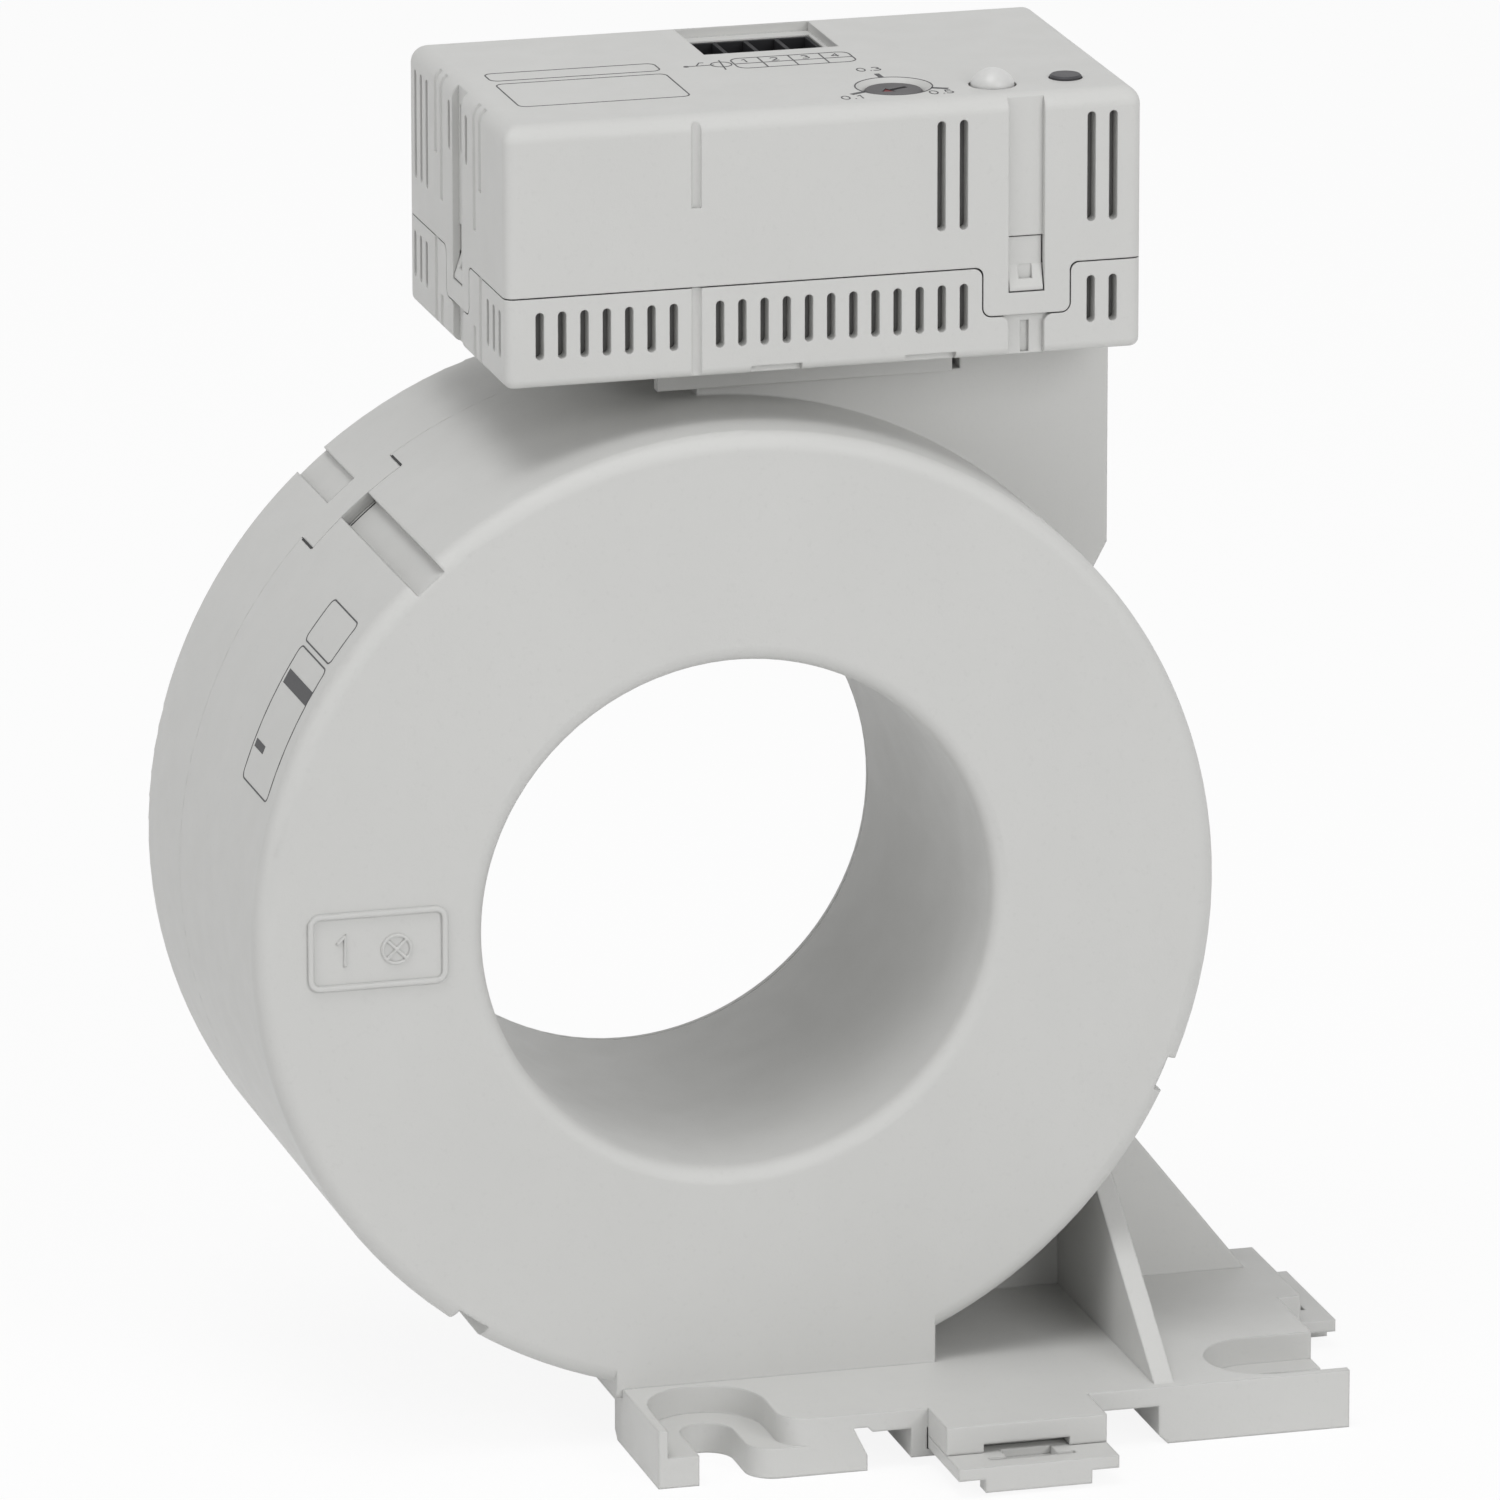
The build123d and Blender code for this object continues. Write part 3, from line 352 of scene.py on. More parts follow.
STROKES = {
    "0": [(arc((0.3, 0.5), (0.29, 0.5), 0, 345, 24), True)],
    "1": [(run([(0.1, 0.76), (0.36, 1.0), (0.36, 0.0)]), False)],
    "2": [(np.vstack([arc((0.3, 0.71), (0.27, 0.29), 160, -35, 14),
                      run([(0.03, 0.0), (0.6, 0.0)])]), False)],
    "3": [(np.vstack([arc((0.28, 0.755), (0.25, 0.245), 150, -80, 12),
                      arc((0.28, 0.27), (0.3, 0.27), 80, -150, 14)]), False)],
    "4": [(run([(0.46, 0.0), (0.46, 1.0), (0.02, 0.3), (0.62, 0.3)]), False)],
    "5": [(np.vstack([run([(0.54, 1.0), (0.13, 1.0), (0.09, 0.56)]),
                      arc((0.28, 0.32), (0.3, 0.32), 120, -140, 14)]), False)],
    ".": [(run([(0.12, 0.0), (0.12, 0.1)]), False)],
}
ADVANCE = {".": 0.3}
FIGURE_ADVANCE = 0.85


def figures(text, start, height, width, relief, place, section=FLAT_SECTION, sunk=INK_SUNK):
    """A number drawn with strokes: each figure's paths scaled to a height and set in a row."""
    parts, pen = [], 0.0
    for figure in text:
        for path, closed in STROKES[figure]:
            spot = (path + (pen, 0.0)) * height + start
            parts.append(carried(spot, section, width, relief, place, sunk, closed))
        pen += ADVANCE.get(figure, FIGURE_ADVANCE)
    return parts


# Finishes.

class Finish:
    """A material under construction, with its pattern on the object's own coordinates."""

    def __init__(self, name, **values):
        self.material = bpy.data.materials.new(name)
        self.material.use_nodes = True
        self.tree = self.material.node_tree
        self.shader = self.tree.nodes["Principled BSDF"]
        self.place = self.add("ShaderNodeTexCoord").outputs["Object"]
        for socket, value in values.items():
            self.shader.inputs[socket.replace("_", " ")].default_value = value

    def add(self, kind, inputs=None, **settings):
        """A node with some settings, and its inputs set to values or linked to sockets."""
        made = self.tree.nodes.new(kind)
        for setting, value in settings.items():
            setattr(made, setting, value)
        for socket, value in (inputs or {}).items():
            if isinstance(value, bpy.types.NodeSocket):
                self.tree.links.new(value, made.inputs[socket])
            else:
                made.inputs[socket].default_value = value
        return made

    def to_shader(self, socket, value):
        """Links a pattern's socket to one of the shader's."""
        self.tree.links.new(value, self.shader.inputs[socket])

    def noise(self, size, detail=2.0, roughness=0.5, stretch=None):
        """Soft noise whose lumps are about size metres across, stretched by a Mapping node."""
        place = self.place
        if stretch:
            place = self.add("ShaderNodeMapping", {"Vector": place, "Scale": stretch}).outputs["Vector"]
        return self.add("ShaderNodeTexNoise", {"Vector": place, "Scale": 1.0 / size, "Detail": detail,
                                               "Roughness": roughness}).outputs["Fac"]

    def span(self, value, low, high, start=0.3, end=0.7):
        """Maps a value from one span to another."""
        return self.add("ShaderNodeMapRange", {"Value": value, "From Min": start, "From Max": end,
                                               "To Min": low, "To Max": high}).outputs["Result"]

    def blend(self, factor, first, second):
        """A colour between two colours."""
        mix = self.add("ShaderNodeMix", {0: factor}, data_type="RGBA")
        for socket, colour in ((mix.inputs[6], first), (mix.inputs[7], second)):
            if isinstance(colour, bpy.types.NodeSocket):
                self.tree.links.new(colour, socket)
            else:
                socket.default_value = (*colour, 1.0)
        return mix.outputs[2]

    def maths(self, operation, *values):
        """One step of arithmetic on values or sockets."""
        return self.add("ShaderNodeMath", dict(enumerate(values)), operation=operation).outputs[0]

    def axes(self):
        """The object's x, y and z, in metres."""
        split = self.add("ShaderNodeSeparateXYZ", {"Vector": self.place})
        return split.outputs["X"], split.outputs["Y"], split.outputs["Z"]

    def off_seam(self, seam, width):
        """0 within a width of a seam at a depth y, 1 farther away."""
        away = self.maths("ABSOLUTE", self.maths("SUBTRACT", self.axes()[1], seam * MM))
        return self.span(away, 0.0, 1.0, width, 1.5 * width)

    def soft_edges(self, radius, seam=None):
        """The normal with edges rounded to a radius, but left sharp near a quiet seam."""
        if seam is not None:
            radius = self.maths("MULTIPLY", self.off_seam(seam, 1.5 * radius), radius)
        return self.add("ShaderNodeBevel", {"Radius": radius}, samples=4).outputs["Normal"]

    def gap_shade(self, distance, seam=None):
        """Mask of painted shade: 1 deep in a gap narrower than a distance, 0 on open faces,
        in plain corners and along a quiet seam."""
        rays = self.add("ShaderNodeAmbientOcclusion", {"Distance": distance}, samples=4)
        depth = self.span(rays.outputs["AO"], 1.0, 0.0, 0.12, 0.46)
        return depth if seam is None else self.maths("MULTIPLY", depth, self.off_seam(seam, 0.0004))

    def relief(self, height, depth, strength=1.0, normal=None):
        """Bumps the surface by a height, over a softened normal if there is one."""
        inputs = {"Height": height, "Distance": depth, "Strength": strength}
        if normal:
            inputs["Normal"] = normal
        self.to_shader("Normal", self.add("ShaderNodeBump", inputs).outputs["Normal"])


def shade(colour, factor):
    """A colour made darker or lighter."""
    return tuple(min(1.0, c * factor) for c in colour)


def moulded(name, colour, grain=0.00022, depth=0.000006, rough=(0.46, 0.56), drift=0.012, edge=0.0005,
            specular=0.28, seam=None, gap=0.0005):
    """Moulded plastic: a fine eroded grain, slow drift of tone where the melt flowed, painted shade
    deep in narrow gaps, and edges that are softly rounded, a little smoother and lighter by a painted
    highlight."""
    made = Finish(name, Specular_IOR_Level=specular)
    flow = made.noise(0.018, 3.0, 0.6, stretch=(1.0, 1.0, 0.6))
    speck = made.noise(0.0006, 2.0)
    tone = made.blend(made.span(flow, 0.0, 1.0), shade(colour, 1.0 - drift), shade(colour, 1.0 + drift))
    tone = made.blend(made.span(speck, 0.0, 0.5, 0.6, 0.8), tone, shade(colour, 0.93))
    soft = made.soft_edges(edge, seam)
    true = made.add("ShaderNodeNewGeometry").outputs["Normal"]
    bend = made.add("ShaderNodeVectorMath", {0: soft, 1: true}, operation="DOT_PRODUCT").outputs["Value"]
    # Painted highlight: within the rounded edges the colour is lightened by a fifth; the same mask also
    # lowers the roughness there.
    edge_highlight = made.span(bend, 1.0, 0.0, 0.75, 0.99)
    tone = made.blend(edge_highlight, tone, shade(colour, 1.2))
    # Painted shade: deep in narrow gaps the colour falls to 0.12 of itself.
    made.to_shader("Base Color", made.blend(made.gap_shade(gap, seam), tone, shade(colour, 0.12)))
    wear = made.span(made.noise(0.004, 3.0), *rough)
    made.to_shader("Roughness", made.maths("SUBTRACT", wear, made.maths("MULTIPLY", edge_highlight, 0.08)))
    grains = made.add("ShaderNodeTexVoronoi", {"Vector": made.place, "Scale": 1.0 / grain},
                      feature="SMOOTH_F1").outputs["Distance"]
    made.relief(made.maths("ADD", grains, made.noise(grain * 2.5, 3.0)), depth, 1.0, soft)
    return made.material


def ink(name, colour):
    """Pad-printed ink: slightly uneven in tone, with a dry, faintly mottled film."""
    made = Finish(name, Specular_IOR_Level=0.3)
    cover = made.noise(0.0004, 3.0, 0.6)
    made.to_shader("Base Color", made.blend(made.span(cover, 0.0, 1.0), shade(colour, 0.85),
                                            shade(colour, 1.2)))
    made.to_shader("Roughness", made.span(cover, 0.5, 0.7))
    made.relief(cover, 0.000003, 0.6)
    return made.material


def wound_strip():
    """Core of thin strip: bright and dark turns by distance from the bore's axis, and
    a lengthwise brushing on the strip's outer turn."""
    made = Finish("wound_strip_steel", Metallic=1.0)
    x, _, z = made.axes()
    radius = made.maths("SQRT", made.maths("ADD", made.maths("MULTIPLY", x, x),
                                           made.maths("MULTIPLY", z, z)))
    turns = made.maths("SINE", made.maths("MULTIPLY", radius, 2 * math.pi / 0.00022))
    brushed = made.noise(0.0012, 4.0, 0.7, stretch=(0.15, 1.0, 0.15))
    tone = made.blend(made.span(turns, 0.0, 1.0, -1.0, 1.0), (0.24, 0.24, 0.25), (0.46, 0.46, 0.47))
    made.to_shader("Base Color", made.blend(made.span(brushed, 0.0, 0.35), tone, (0.33, 0.31, 0.29)))
    made.to_shader("Roughness", made.span(brushed, 0.28, 0.5))
    made.relief(made.maths("ADD", turns, brushed), 0.00002, 0.7)
    return made.material


def wound_wire():
    """Enamelled wire laid round the ring: round ridges at even angles about the bore's axis,
    with painted shade that makes the valleys darker, and each layer slightly off pitch."""
    made = Finish("enamelled_copper_wire", Metallic=0.85, Coat_Weight=0.5, Coat_Roughness=0.15)
    x, _, z = made.axes()
    angle = made.maths("ARCTAN2", z, x)
    sway = made.maths("MULTIPLY", made.noise(0.012, 2.0), 0.02)
    turns = made.maths("MULTIPLY", made.maths("ADD", angle, sway), 240.0)
    ridge = made.maths("ABSOLUTE", made.maths("SINE", turns))
    # Painted shade: the colour darkens from copper to near black in the valleys between the ridges.
    made.to_shader("Base Color", made.blend(ridge, (0.16, 0.05, 0.02), (0.72, 0.33, 0.13)))
    made.to_shader("Roughness", made.span(ridge, 0.5, 0.24, 0.0, 1.0))
    made.relief(ridge, 0.00018, 0.8)
    return made.material


def foam(name, colour):
    """Open-cell foam: small dark cells in a soft matt body."""
    made = Finish(name, Specular_IOR_Level=0.15, Sheen_Weight=0.25, Sheen_Roughness=0.6)
    cells = made.add("ShaderNodeTexVoronoi", {"Vector": made.place, "Scale": 1400.0},
                     feature="F1").outputs["Distance"]
    made.to_shader("Base Color", made.blend(made.span(cells, 0.0, 1.0, 0.1, 0.6), shade(colour, 0.45),
                                            shade(colour, 1.3)))
    made.to_shader("Roughness", made.span(made.noise(0.003), 0.8, 0.95))
    made.relief(cells, 0.00025, 0.8)
    return made.material


def lead_sleeves():
    """Two insulated leads, one red and one grey, with faint lengthwise drawing marks."""
    made = Finish("lead_insulation", Specular_IOR_Level=0.4)
    side = made.maths("GREATER_THAN", made.axes()[0], LEADS_X * MM)
    drawn = made.noise(0.0006, 3.0, 0.6, stretch=(1.0, 1.0, 0.05))
    sleeve = made.blend(side, (0.5, 0.06, 0.05), (0.32, 0.32, 0.33))
    made.to_shader("Base Color", made.blend(made.span(drawn, 0.0, 0.3), sleeve, (0.12, 0.1, 0.1)))
    made.to_shader("Roughness", made.span(drawn, 0.38, 0.52))
    made.relief(drawn, 0.00003, 0.5)
    return made.material


def board_finish():
    """Circuit board: green solder mask over lighter tracks that run along and across in a
    loose grid, small tinned pads, and a dull green weave on the cut edges."""
    made = Finish("board_laminate", Specular_IOR_Level=0.5)
    bricks = made.add("ShaderNodeTexBrick", {"Vector": made.place, "Scale": 260.0, "Mortar Size": 0.012,
                                             "Brick Width": 0.9, "Row Height": 0.35}, offset=0.37)
    tracks = made.maths("GREATER_THAN", bricks.outputs["Fac"], 0.5)
    dots = made.add("ShaderNodeTexVoronoi", {"Vector": made.place, "Scale": 190.0, "Randomness": 0.45},
                    feature="F1").outputs["Distance"]
    pads = made.maths("LESS_THAN", dots, 0.13)
    facing = made.add("ShaderNodeSeparateXYZ",
                      {"Vector": made.add("ShaderNodeNewGeometry").outputs["Normal"]}).outputs["Z"]
    flat = made.maths("GREATER_THAN", made.maths("ABSOLUTE", facing), 0.5)
    mask = made.blend(tracks, (0.012, 0.11, 0.045), (0.03, 0.2, 0.08))
    mask = made.blend(pads, mask, (0.62, 0.6, 0.54))
    weave = made.noise(0.0005, 3.0, 0.7, stretch=(0.2, 0.2, 1.0))
    edge = made.blend(weave, (0.02, 0.04, 0.02), (0.07, 0.09, 0.045))
    made.to_shader("Base Color", made.blend(flat, edge, mask))
    made.to_shader("Roughness", made.span(pads, 0.36, 0.25, 0.0, 1.0))
    made.relief(made.maths("ADD", tracks, made.maths("MULTIPLY", pads, 0.8)), 0.00003, 0.6)
    return made.material


def tinned(name, colour, rough=(0.2, 0.36)):
    """Tinned metal: dull bright plating with fine drawing lines along the pin."""
    made = Finish(name, Metallic=1.0)
    lines = made.noise(0.0003, 3.0, 0.6, stretch=(1.0, 1.0, 0.04))
    made.to_shader("Base Color", made.blend(made.span(lines, 0.0, 1.0), shade(colour, 0.85), colour))
    made.to_shader("Roughness", made.span(lines, *rough))
    made.relief(lines, 0.000008, 0.6)
    return made.material


def lens_finish():
    """Frosted light guide: milky resin that scatters light, with a finely blasted skin."""
    made = Finish("frosted_white_lens", Specular_IOR_Level=0.35, IOR=1.49, Subsurface_Weight=0.35,
                  Subsurface_Radius=(0.0015, 0.0015, 0.0015), Subsurface_Scale=1.0,
                  Transmission_Weight=0.08)
    milk = made.noise(0.0016, 2.0)
    made.to_shader("Base Color", made.blend(made.span(milk, 0.0, 1.0), (0.63, 0.63, 0.62),
                                            (0.68, 0.68, 0.67)))
    made.to_shader("Roughness", made.span(made.noise(0.0008, 2.0), 0.28, 0.38))
    made.relief(made.noise(0.00012, 2.0), 0.000002, 0.8)
    return made.material


def lamp_finish():
    """Clear lamp resin, slightly green, with a faint swirl."""
    made = Finish("lamp_resin", IOR=1.53, Transmission_Weight=0.7, Specular_IOR_Level=0.5)
    swirl = made.noise(0.0012, 3.0, 0.7)
    made.to_shader("Base Color", made.blend(made.span(swirl, 0.0, 1.0), (0.55, 0.68, 0.45),
                                            (0.75, 0.82, 0.66)))
    made.to_shader("Roughness", made.span(swirl, 0.06, 0.16))
    made.relief(swirl, 0.00001, 0.3)
    return made.material


def can_sleeves():
    """Two capacitors: a black shrink sleeve with a pale stripe on the +Y side of each, and a
    bare aluminium top with a pressed cross."""
    made = Finish("capacitor_can")
    x, y, z = made.axes()
    from_middle = made.maths("ABSOLUTE", made.maths("SUBTRACT", x, CANS_X * MM))
    pair = made.maths("SUBTRACT", from_middle, CANS_HALF_PITCH * MM)
    deep = made.maths("SUBTRACT", y, CANS_Y * MM)
    radius = made.maths("SQRT", made.maths("ADD", made.maths("MULTIPLY", pair, pair),
                                           made.maths("MULTIPLY", deep, deep)))
    top_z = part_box("smoothing_capacitors")[1].z
    top = made.maths("MULTIPLY", made.maths("GREATER_THAN", z, top_z - 0.0001),
                     made.maths("LESS_THAN", radius, CAN_TOP_RADIUS * MM))
    stripe = made.maths("GREATER_THAN", deep, CAN_STRIPE_START * MM)
    cross = made.maths("LESS_THAN", made.maths("MINIMUM", made.maths("ABSOLUTE", pair),
                                               made.maths("ABSOLUTE", deep)), CAN_CROSS_HALF * MM)
    haze = made.noise(0.0009, 3.0)
    sleeve = made.blend(stripe, (0.02, 0.02, 0.025), (0.55, 0.55, 0.52))
    metal = made.blend(made.span(haze, 0.0, 1.0), (0.6, 0.6, 0.61), (0.74, 0.74, 0.75))
    made.to_shader("Base Color", made.blend(top, sleeve, metal))
    made.to_shader("Metallic", top)
    made.to_shader("Roughness", made.span(haze, 0.26, 0.42))
    dent = made.maths("MULTIPLY", made.maths("MULTIPLY", cross, top), -1.0)
    made.relief(made.maths("ADD", dent, made.maths("MULTIPLY", haze, 0.1)), 0.00008, 0.8)
    return made.material


GREY = (0.585, 0.585, 0.572)
DARK_INK = (0.075, 0.075, 0.078)

finishes = {
    "light_grey_housing": moulded("light_grey_housing", GREY, seam=RING_SEAM_Y),
    "light_grey_box": moulded("light_grey_box", GREY, grain=0.0002, edge=0.00025),
    # Painted shade: a dark grey for the cards that stand behind the vents.
    "vent_shade_lining": moulded("vent_shade_lining", shade(GREY, 0.3), grain=0.0002, edge=0.00025),
    "light_grey_bracket": moulded("light_grey_bracket", GREY, grain=0.0002, edge=0.00025, gap=0.0002),
    "light_grey_clip": moulded("light_grey_clip", shade(GREY, 0.985), grain=0.0003, rough=(0.4, 0.5)),
    "tray_nylon": moulded("tray_nylon", (0.74, 0.73, 0.7), grain=0.0005, rough=(0.38, 0.5)),
    "connector_nylon": moulded("connector_nylon", (0.78, 0.75, 0.66), grain=0.0004, rough=(0.35, 0.48)),
    "black_socket": moulded("black_socket", (0.024, 0.024, 0.026), rough=(0.55, 0.68), edge=0.00012,
                            specular=0.12),
    "switch_black": moulded("switch_black", (0.03, 0.03, 0.033), rough=(0.36, 0.5)),
    "dial_dark_grey": moulded("dial_dark_grey", (0.085, 0.082, 0.085), rough=(0.45, 0.56), edge=0.0001,
                              specular=0.2),
    "button_dark_grey": moulded("button_dark_grey", (0.06, 0.059, 0.064), rough=(0.45, 0.56), edge=0.0001,
                                specular=0.2),
    "relay_blue": moulded("relay_blue", (0.05, 0.09, 0.28), rough=(0.25, 0.36), grain=0.0006),
    "chip_black": moulded("chip_black", (0.025, 0.025, 0.027), rough=(0.5, 0.62), grain=0.0001),
    "core_strip": wound_strip(),
    "copper_wire": wound_wire(),
    "cushion_foam": foam("cushion_foam", (0.09, 0.09, 0.095)),
    "lead_sleeves": lead_sleeves(),
    "board": board_finish(),
    "pin_tin": tinned("pin_tin", (0.72, 0.7, 0.64)),
    "lens": lens_finish(),
    "lamp": lamp_finish(),
    "cans": can_sleeves(),
    "print": ink("dark_grey_print", DARK_INK),
    "pointer_red": ink("pointer_red", (0.13, 0.01, 0.014)),
    "pointer_black": ink("pointer_black", (0.02, 0.02, 0.022)),
    # Painted shade in the tongues' slits, made with the ink finish.
    "slit_shadow": ink("slit_shadow", (0.025, 0.025, 0.026)),
}

NODE_FINISH = {
    "front_housing": "light_grey_housing",
    "rear_cover": "light_grey_housing",
    "module_bracket": "light_grey_bracket",
    "module_base": "light_grey_box",
    "module_cover": "light_grey_box",
    "rail_clip_front": "light_grey_clip",
    "rail_clip_side": "light_grey_clip",
    "magnetic_core": "core_strip",
    "core_tray": "tray_nylon",
    "core_lid": "tray_nylon",
    "secondary_winding": "copper_wire",
    "front_cushion": "cushion_foam",
    "rear_cushion": "cushion_foam",
    "winding_leads": "lead_sleeves",
    "lead_connector": "connector_nylon",
    "circuit_board": "board",
    "terminal_socket": "black_socket",
    "terminal_pins": "pin_tin",
    "selector_switch": "switch_black",
    "selector_dial": "dial_dark_grey",
    "status_lens": "lens",
    "status_led": "lamp",
    "test_button": "button_dark_grey",
    "test_switch": "switch_black",
    "output_relay": "relay_blue",
    "control_chip": "chip_black",
    "smoothing_capacitors": "cans",
}
for node, finish in NODE_FINISH.items():
    for slot_of_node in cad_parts[node].material_slots:
        slot_of_node.material = finishes[finish]


# Print and raised marks.

def inked(path, width=LINE, closed=False, place=on_top_face, scale=(1.0, 1.0)):
    """A flat line of ink along a path."""
    return carried(path, FLAT_SECTION, width, INK_HEIGHT, place, INK_SUNK, closed, scale)


def top_frames():
    """The two bare frames left of the controls."""
    return [inked(rounded_frame(low, high, (LID_FRAME_ROUND, LID_FRAME_ROUND)), closed=True)
            for low, high in LID_FRAMES]


def terminal_table():
    """The table in front of the socket, with four columns, and a number for each pole."""
    low, high = TABLE
    lines = [inked(rounded_frame(low, high, (TABLE_ROUND, TABLE_ROUND)), closed=True),
             inked(run([(low[0], TABLE_MIDDLE_Y), (high[0], TABLE_MIDDLE_Y)]))]
    lines += [inked(run([(x, low[1]), (x, high[1])])) for x in TABLE_COLUMNS_X]
    for number, x in zip("1234", POLES_X):
        start = (x + POLE_FIGURE_START[0], TABLE_MIDDLE_Y + POLE_FIGURE_START[1])
        lines += figures(number, start, POLE_FIGURE_HEIGHT, LINE, INK_HEIGHT, on_top_face)
    return lines


def coil_symbol():
    """A lead with a dot and a hook, through a ring: the sensing coil on its conductor."""
    dot = inked(arc((1.7, 1.55), (0.18, 0.18), 0, 330, 12), 0.3, True)
    lead = inked(run([(1.9, 1.55), (4.6, 1.6)]))
    lead_end = inked(run([(4.6, 1.6), (5.0, 1.6)]))
    ring = inked(arc((5.85, 1.6), (1.2, 1.2), 0, 354, 48), closed=True)
    through = inked(run([(6.1, 3.6), (5.7, -1.0)]))
    hook = inked(run([(2.9, 1.6), (3.6, 3.0), (4.1, 2.9)]))
    return [dot, lead, ring, through, hook, lead_end]


def selector_scale():
    """The ring round the selector, a bar at each of its three stops, and the figures."""
    parts = [inked(arc(SELECTOR, (SCALE_RADIUS, SCALE_RADIUS), 0, 357, 120), SCALE_LINE, True)]
    for angle, text, start in STOPS:
        ray = np.array([math.cos(math.radians(angle)), math.sin(math.radians(angle))])
        ends = np.array([SELECTOR + ray * SCALE_RADIUS, SELECTOR + ray * BAR_END])
        parts.append(inked(ends, BAR_WIDTH))
        parts += figures(text, start, STOP_FIGURE_HEIGHT, LINE, INK_HEIGHT, on_top_face)
    return parts


def rim_frames():
    """The two bare frames printed on the rim, with a bar and a small patch in the lower one."""
    parts = []
    for low, high in RIM_FRAMES:
        loop = rounded_frame(low, high, (RIM_FRAME_ROUND / DEGREE, RIM_FRAME_ROUND))
        parts.append(inked(run(loop, 0.5, closed=True), RIM_LINE, True, on_ring_rim, RIM_SCALE))
    for middle, ends, width in RIM_BARS:
        bar = run([(middle, ends[0]), (middle, ends[1])], 1.0)
        parts.append(inked(bar, width, False, on_ring_rim, RIM_SCALE))
    return parts


def tongue_slit_shade():
    """Painted shade: dark lines over the real slits at both sides of each snap tongue, and over the gap
    under its front edge.
    """
    parts = []
    for angle in SNAP_ANGLES:
        for side in (-1, 1):
            place = angle + side * TONGUE_HALF / DEGREE
            slit = run([(place, TONGUE_Y[0]), (place, TONGUE_Y[1])])
            parts.append(inked(slit, SLIT, False, on_ring_rim, RIM_SCALE))
        half = CHANNEL_HALF / DEGREE
        gap = run([(angle - half, CHANNEL_END_Y), (angle + half, CHANNEL_END_Y)], 0.4)
        parts.append(inked(gap, SLIT, False, on_channel_floor, RIM_SCALE))
    return parts


def side_mark():
    """Raised inside the moulded frame: the side's number and a ring with a cross in it, the
    sign for current that flows into this face."""
    width, height, sunk = BEAD
    start, figure_height = SIDE_FIGURE
    centre, radius = SIDE_RING
    parts = figures("1", start, figure_height, width, height, on_ring_front, BEAD_SECTION, sunk)
    half = radius * math.sqrt(0.5)
    rising = run([(-half, -half), (half, half)]) + centre
    falling = run([(-half, half), (half, -half)]) + centre
    ring = arc(centre, (radius, radius), 0, 354, 60)
    for path, closed in ((ring, True), (rising, False), (falling, False)):
        parts.append(carried(path, BEAD_SECTION, width, height, on_ring_front, sunk, closed))
    return parts


def vent_shade_cards():
    """Thin upright dark cards of painted shade just inside the box's walls: full length behind the
    high vents, and left and right of the latches behind the low ones."""
    (x0, y0), (x1, y1) = BOX_INSIDE
    near, far = CARD_GAP, CARD_GAP + CARD_THICK
    cards = []

    def card(low, high, z_range):
        """One card over a rectangle of the plan."""
        outline = np.array([low, (high[0], low[1]), high, (low[0], high[1])])
        cards.append(prism(outline, *z_range, at_height))

    sides = [(span, LOW_CARD_Z) for span in LOW_CARD_ON_SIDES] + [((x0 + near, x1 - near), HIGH_CARD_Z)]
    ends = [(span, LOW_CARD_Z) for span in LOW_CARD_ON_ENDS] + [((y0 + far, y1 - far), HIGH_CARD_Z)]
    for (start, stop), z_range in sides:
        card((start, y0 + near), (stop, y0 + far), z_range)
        card((start, y1 - far), (stop, y1 - near), z_range)
    for (start, stop), z_range in ends:
        card((x0 + near, start), (x0 + far, stop), z_range)
        card((x1 - far, start), (x1 - near, stop), z_range)
    return cards


def dial_body():
    """The dial: rays from a pole inside the arrow slot meet the slot's outline and the rim,
    and rings of those points go down the slot's wall and over the face to the rim."""
    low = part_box("selector_dial")[0].z / MM
    corners = np.arctan2(*(ARROW - ARROW_POLE).T[::-1])
    heading = np.unique(np.concatenate([np.radians(np.arange(-180.0, 180.0, 3.0)), corners]))
    ray = np.column_stack([np.cos(heading), np.sin(heading)])
    slot = ARROW_POLE + ray * reach(ARROW_POLE, heading, ARROW)[:, None]
    circle = arc((0, 0), (DIAL_RADIUS, DIAL_RADIUS), 0, 357, 120)
    rim = ARROW_POLE + ray * reach(ARROW_POLE, heading, circle)[:, None]
    face_edge = rim * (1 - DIAL_BEVEL[0] / DIAL_RADIUS)
    rings = [on_dial(slot, ARROW_FLOOR_Z), on_dial(slot, DIAL_TOP_Z), on_dial(face_edge, DIAL_TOP_Z),
             on_dial(rim, DIAL_TOP_Z - DIAL_BEVEL[1]), on_dial(rim, low)]
    return [stacked(np.array(rings))]


def pointer(outline, height):
    """A part of the pointer: a plate on the floor of the dial's arrow slot."""
    return [prism(outline, -INK_SUNK, height, in_arrow_slot)]


def light_guide():
    """The stem, the flange under the lid, and a dome r = R (1 - (h / H)^1.8)^0.58."""
    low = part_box("status_lens")[0].z / MM
    flange_reach, flange_thick = LENS_FLANGE
    flange_top = LID_UNDER_Z - LENS_GAP
    rise = 1 - np.linspace(1.0, 0.02, 22) ** 2
    dome = np.column_stack([LENS_RADIUS * (1 - rise ** 1.8) ** 0.58, TOP_FACE_Z + LENS_RISE * rise])
    profile = [(LENS_STEM_RADIUS, low), (LENS_STEM_RADIUS, flange_top - flange_thick),
               (flange_reach, flange_top - flange_thick), (flange_reach, flange_top),
               (LENS_RADIUS, flange_top)]
    return [turned(np.vstack([profile, dome]), LENS)]


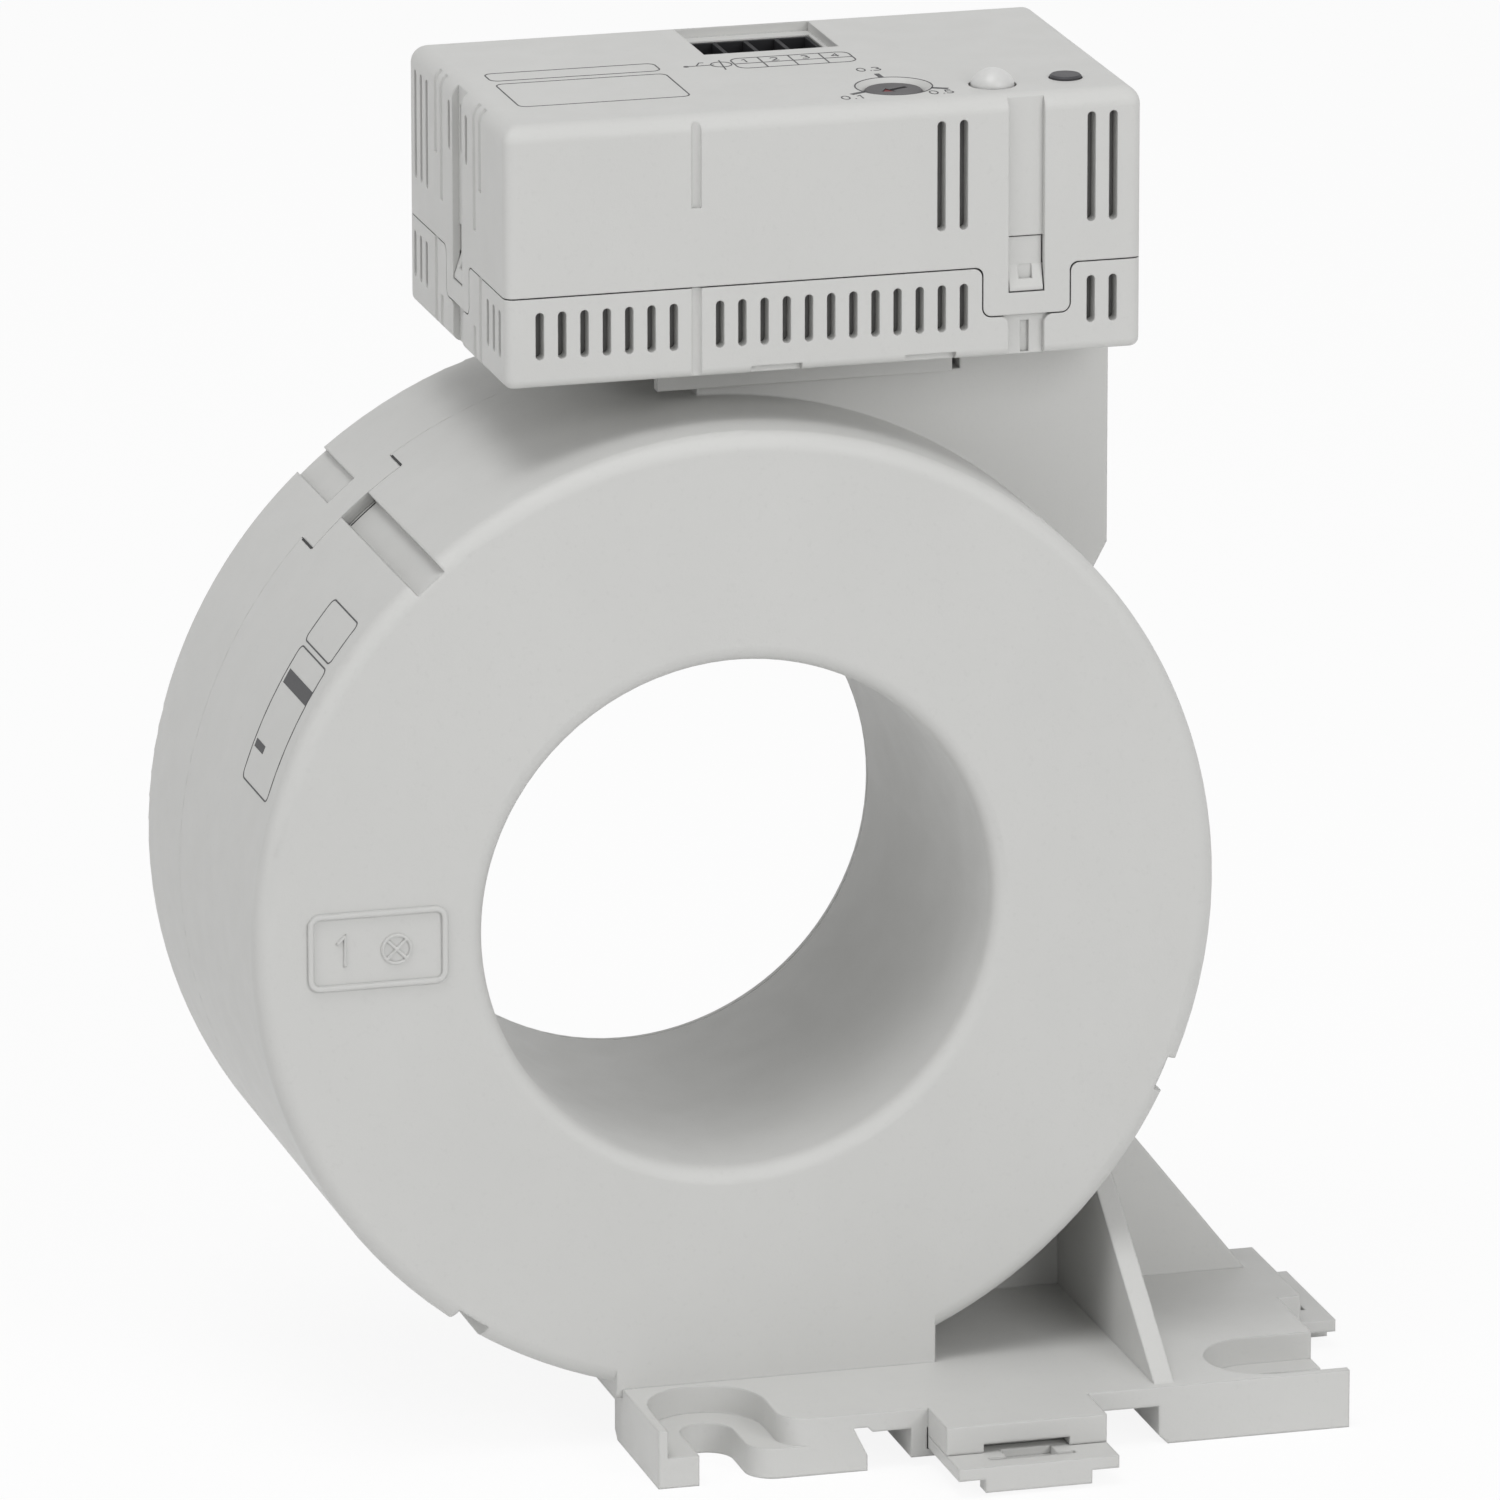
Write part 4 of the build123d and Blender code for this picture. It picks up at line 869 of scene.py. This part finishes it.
piece("print_top_frames", top_frames(), "housing", finishes["print"])
piece("print_terminal_table", terminal_table(), "housing", finishes["print"])
piece("print_coil_symbol", coil_symbol(), "housing", finishes["print"])
piece("print_selector_scale", selector_scale(), "housing", finishes["print"])
piece("print_rim_frames", rim_frames(), "housing", finishes["print"])
# Painted shade over the snap tongues' slits.
piece("tongue_slit_shade", tongue_slit_shade(), "housing", finishes["slit_shadow"])
piece("raised_side_mark", side_mark(), "housing", finishes["light_grey_housing"])
# Dark cards of painted shade behind the vents.
piece("vent_shade_cards", vent_shade_cards(), "housing", finishes["vent_shade_lining"])
dial = piece("dial", dial_body(), "dial", finishes["dial_dark_grey"])
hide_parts("selector_dial")
piece("pointer_tip", pointer(*POINTER_TIP), "dial", finishes["pointer_red"])
piece("pointer_shaft", pointer(*POINTER_SHAFT), "dial", finishes["pointer_black"])
lens = piece("light_guide", light_guide(), "housing", finishes["lens"], smooth=True)
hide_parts("status_lens")


# Studio.

def studio_floor(radius=9.0, rings=24, around=72):
    """A round floor: point(r, t) = r (cos t, sin t), with the rings closer near the object."""
    r = radius * np.linspace(0.0, 1.0, rings + 1)[1:] ** 2
    t = np.linspace(0.0, 2 * math.pi, around, endpoint=False)
    x, y = r[:, None] * np.cos(t), r[:, None] * np.sin(t)
    z = np.full(x.size + 1, cad_low.z)
    points = np.column_stack([np.append(x, 0.0), np.append(y, 0.0), z])
    i, j = np.arange(rings - 1)[:, None] * around, np.arange(around)[None, :]
    following = (j + 1) % around
    quads = np.stack([i + j, i + around + j, i + around + following, i + following], axis=-1).reshape(-1, 4)
    hub = np.column_stack([np.arange(around), (np.arange(around) + 1) % around,
                           np.full(around, rings * around)])
    mesh = bpy.data.meshes.new("studio_floor")
    mesh.from_pydata(points.tolist(), [], quads.tolist() + hub.tolist())
    obj = bpy.data.objects.new("studio_floor", mesh)
    bpy.context.scene.collection.objects.link(obj)
    return obj


def seen_directly(tree):
    """1 for rays that see the backdrop itself: from the camera, in gloss or through glass."""
    path = tree.nodes.new("ShaderNodeLightPath")
    value = path.outputs["Is Camera Ray"]
    for name in ("Is Glossy Ray", "Is Transmission Ray"):
        most = tree.nodes.new("ShaderNodeMath")
        most.operation = "MAXIMUM"
        tree.links.new(value, most.inputs[0])
        tree.links.new(path.outputs[name], most.inputs[1])
        value = most.outputs[0]
    return value


def floor_finish(white_share):
    """Pale paper: a share of it is plain white to the camera, the rest takes light and shadow."""
    material = bpy.data.materials.new("studio_paper")
    material.use_nodes = True
    tree = material.node_tree
    paper = tree.nodes["Principled BSDF"]
    paper.inputs["Base Color"].default_value = (0.92, 0.92, 0.92, 1.0)
    paper.inputs["Roughness"].default_value = 0.9
    paper.inputs["Specular IOR Level"].default_value = 0.1
    white = tree.nodes.new("ShaderNodeEmission")
    share = tree.nodes.new("ShaderNodeMath")
    share.operation = "MULTIPLY"
    share.inputs[1].default_value = white_share
    tree.links.new(seen_directly(tree), share.inputs[0])
    mix = tree.nodes.new("ShaderNodeMixShader")
    tree.links.new(share.outputs[0], mix.inputs[0])
    tree.links.new(paper.outputs[0], mix.inputs[1])
    tree.links.new(white.outputs[0], mix.inputs[2])
    tree.links.new(mix.outputs[0], tree.nodes["Material Output"].inputs["Surface"])
    return material


def studio_world(strength):
    """Even light of a plain strength on the object, and plain white wherever it is seen."""
    world = bpy.data.worlds.new("studio_light")
    world.use_nodes = True
    tree = world.node_tree
    tree.nodes.clear()
    light, white = tree.nodes.new("ShaderNodeBackground"), tree.nodes.new("ShaderNodeBackground")
    light.inputs["Strength"].default_value = strength
    for background in (light, white):
        background.inputs["Color"].default_value = (1.0, 1.0, 1.0, 1.0)
    mix, out = tree.nodes.new("ShaderNodeMixShader"), tree.nodes.new("ShaderNodeOutputWorld")
    tree.links.new(seen_directly(tree), mix.inputs[0])
    tree.links.new(light.outputs[0], mix.inputs[1])
    tree.links.new(white.outputs[0], mix.inputs[2])
    tree.links.new(mix.outputs[0], out.inputs["Surface"])
    bpy.context.scene.world = world


def soft_box(name, place, watts, size, aim=(0.0, 0.0, 0.02)):
    """A square lamp in metres, aimed at the object."""
    data = bpy.data.lights.new(name, "AREA")
    data.shape, data.size, data.energy = "SQUARE", size, watts
    lamp = bpy.data.objects.new(name, data)
    lamp.location = place
    lamp.rotation_mode = "QUATERNION"
    lamp.rotation_quaternion = (Vector(aim) - Vector(place)).to_track_quat("-Z", "Y")
    bpy.context.scene.collection.objects.link(lamp)


# The lamps: each one's place in metres and its watts, and the side of all of them.
LAMPS = {
    "top_lamp": ((-0.36, -0.36, 1.75), 12.0),
    "front_lamp": ((0.63, -1.53, 0.74), 10.2),
    "left_lamp": ((-1.62, -0.54, 0.56), 3.6),
}
LAMP_SIZE = 0.9

studio_floor().data.materials.append(floor_finish(white_share=0.9))
studio_world(strength=0.42)
for lamp_name, (lamp_place, lamp_watts) in LAMPS.items():
    soft_box(lamp_name, lamp_place, lamp_watts, LAMP_SIZE)

# The camera stands where the photograph was taken: its place in mm, and its right, up and
# forward directions.
CAMERA_PLACE = (-420.825, -1551.894, 473.166)
CAMERA_RIGHT = (0.963695, -0.267005, -0.000841)
CAMERA_UP = (0.074352, 0.26533, 0.961287)
CAMERA_FORWARD = (0.256446, 0.926449, -0.275549)
CAMERA_LENS = 348.0425
camera_data = bpy.data.cameras.new("photo_camera")
camera_data.sensor_width = 36.0
camera_data.lens = CAMERA_LENS
camera_data.clip_start, camera_data.clip_end = 0.05, 60.0
camera = bpy.data.objects.new("photo_camera", camera_data)
turn = Matrix([CAMERA_RIGHT, CAMERA_UP, [-value for value in CAMERA_FORWARD]]).transposed()
camera.matrix_world = Matrix.Translation(Vector(CAMERA_PLACE) * MM) @ turn.to_4x4()
bpy.context.scene.collection.objects.link(camera)
bpy.context.scene.camera = camera
bpy.context.scene.view_settings.view_transform = "Standard"
